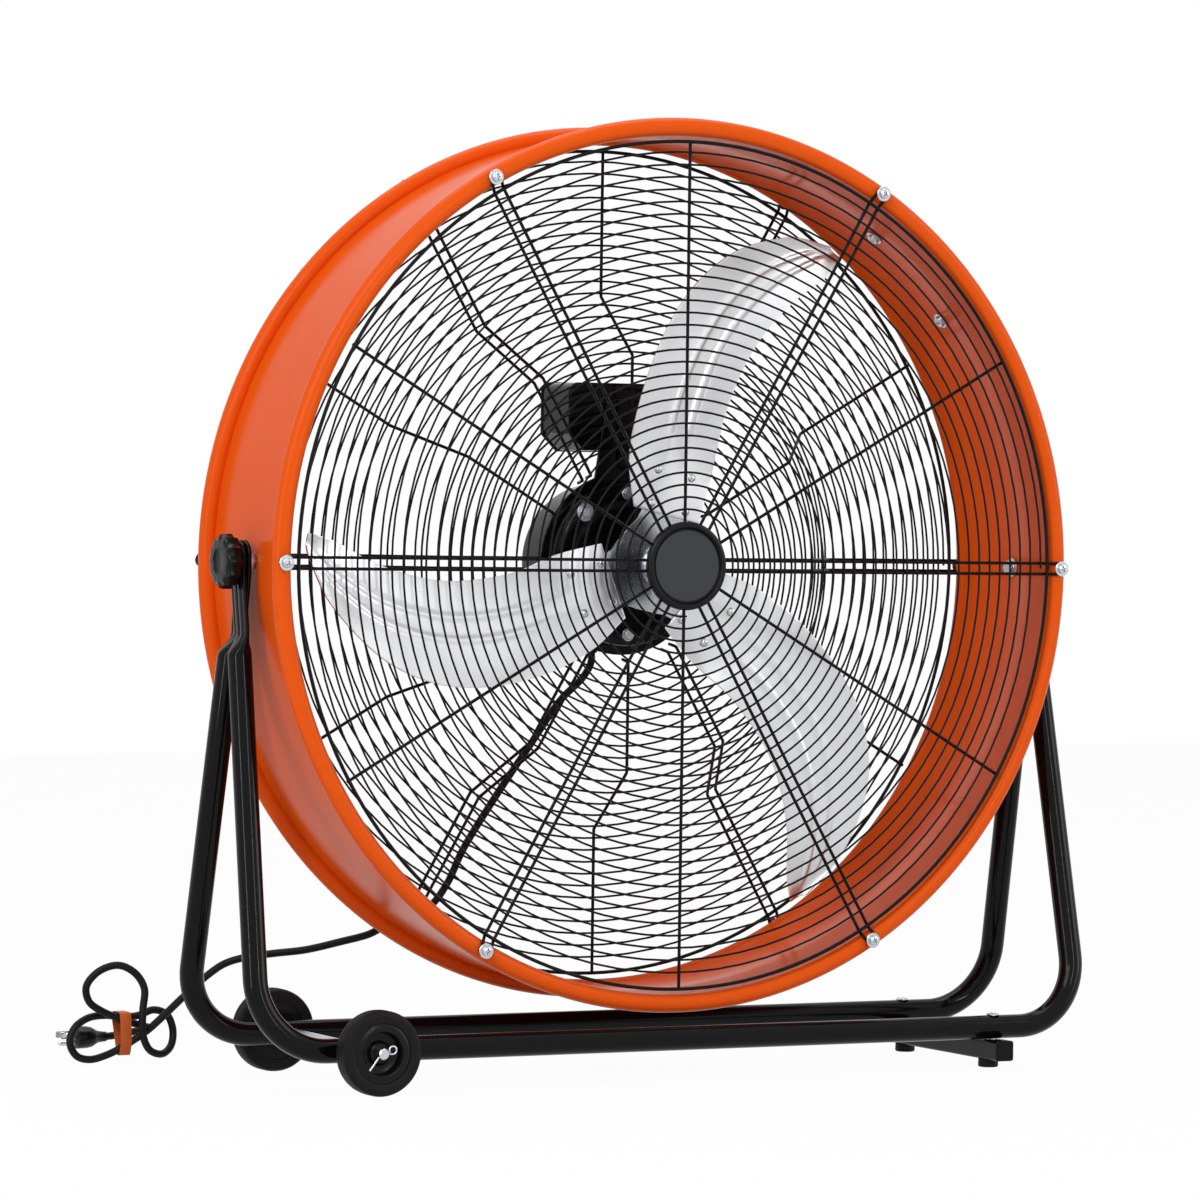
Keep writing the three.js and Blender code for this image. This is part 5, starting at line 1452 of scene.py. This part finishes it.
def build_stage():
    look = bpy.context.scene.drum_fan_look
    reach = 6000
    sheet = [(-reach, -3), (reach, -3), (reach, -0.5), (-reach, -0.5)]
    floor = slab("Floor", sheet, -reach, reach, 0, 0.2)
    floor.data.materials.append(stage_material("Pale Floor", look.white_stage))
    build_world(look.white_stage)
    middle = (0, 0, 0.45)
    area_light("Key", (-2.6, -2.2, 3.0), middle, (2.2, 2.2), look.key_power)
    area_light("Right Fill", (3.2, -2.0, 1.6), middle, (1.6, 2.4), look.fill_power)
    area_light("Top", (0.3, 0.6, 3.4), middle, (2.6, 2.0), look.fill_power)
    area_light("Left Strip", (-3.4, -1.4, 1.3), middle, (0.14, 2.0), look.strip_power)
    area_light("Front Strip", (0.6, -4.4, 1.6), middle, (0.14, 2.0), look.strip_power)
    build_camera()
    bpy.context.scene.view_settings.view_transform = "Standard"


# ---------------------------------------------------------------- operators and panel

def run(builders):
    if not frame["nodes"]:
        raise RuntimeError("The packed fan has no nodes to build on.")
    for build in builders:
        build()
    return {"FINISHED"}


class DRUMFAN_OT_drum(bpy.types.Operator):
    """Build the drum, its grilles, rim screws and badge"""
    bl_idname = "drumfan.drum"
    bl_label = "Build Drum"

    def execute(self, context):
        return run([build_shell, build_grilles, build_rim_screws, build_badge])


class DRUMFAN_OT_rotor(bpy.types.Operator):
    """Build the blades, the spider and the shaft"""
    bl_idname = "drumfan.rotor"
    bl_label = "Build Rotor"

    def execute(self, context):
        return run([build_blades, build_spider])


class DRUMFAN_OT_motor(bpy.types.Operator):
    """Build the motor, its bracket, the switch box and the speed knob"""
    bl_idname = "drumfan.motor"
    bl_label = "Build Motor"

    def execute(self, context):
        return run([build_motor, build_switch])


class DRUMFAN_OT_fittings(bpy.types.Operator):
    """Build the carry handle, the pivot bolts and the hand knobs"""
    bl_idname = "drumfan.fittings"
    bl_label = "Build Handle and Pivots"

    def execute(self, context):
        return run([build_handle, build_pivots])


class DRUMFAN_OT_stand(bpy.types.Operator):
    """Build the two bent tubes, the foot bar and the wheels"""
    bl_idname = "drumfan.stand"
    bl_label = "Build Stand"

    def execute(self, context):
        build_tube("Front Tube", -1, "front_tube")
        build_tube("Rear Tube", 1, "rear_tube")
        return run([build_foot, build_wheels])


class DRUMFAN_OT_cord(bpy.types.Operator):
    """Build the cord, its tied loops, the clip and the plug"""
    bl_idname = "drumfan.cord"
    bl_label = "Build Cord"

    def execute(self, context):
        return run([build_cord])


class DRUMFAN_OT_stage(bpy.types.Operator):
    """Build the floor, the studio light and the camera"""
    bl_idname = "drumfan.stage"
    bl_label = "Build Stage"

    def execute(self, context):
        return run([build_stage])


class DRUMFAN_PT_panel(bpy.types.Panel):
    """Settings and builders of the drum fan"""
    bl_label = "Drum Fan"
    bl_idname = "DRUMFAN_PT_panel"
    bl_space_type = "VIEW_3D"
    bl_region_type = "UI"
    bl_category = "Drum Fan"

    def draw(self, context):
        layout = self.layout
        for label, settings in SETTINGS.items():
            box = layout.box()
            box.label(text=label)
            group = getattr(context.scene, settings[0])
            for name in settings[1].__annotations__:
                box.prop(group, name)
        for operator in OPERATORS:
            layout.operator(operator.bl_idname)


SETTINGS = {
    "Drum": ("drum_fan_drum", DrumFanDrum),
    "Rotor": ("drum_fan_rotor", DrumFanRotor),
    "Stand": ("drum_fan_stand", DrumFanStand),
    "Look": ("drum_fan_look", DrumFanLook),
}
OPERATORS = (DRUMFAN_OT_drum, DRUMFAN_OT_rotor, DRUMFAN_OT_motor, DRUMFAN_OT_fittings,
             DRUMFAN_OT_stand, DRUMFAN_OT_cord, DRUMFAN_OT_stage)


def register():
    for attribute, settings in SETTINGS.values():
        bpy.utils.register_class(settings)
        setattr(bpy.types.Scene, attribute, PointerProperty(type=settings))
    for item in (*OPERATORS, DRUMFAN_PT_panel):
        bpy.utils.register_class(item)


def unregister():
    for item in reversed((*OPERATORS, DRUMFAN_PT_panel)):
        bpy.utils.unregister_class(item)
    for attribute, settings in reversed(list(SETTINGS.values())):
        delattr(bpy.types.Scene, attribute)
        bpy.utils.unregister_class(settings)


def main():
    register()
    bpy.ops.drumfan.drum()
    bpy.ops.drumfan.rotor()
    bpy.ops.drumfan.motor()
    bpy.ops.drumfan.fittings()
    bpy.ops.drumfan.stand()
    bpy.ops.drumfan.cord()
    bpy.ops.drumfan.stage()


if __name__ == "__main__":
    main()
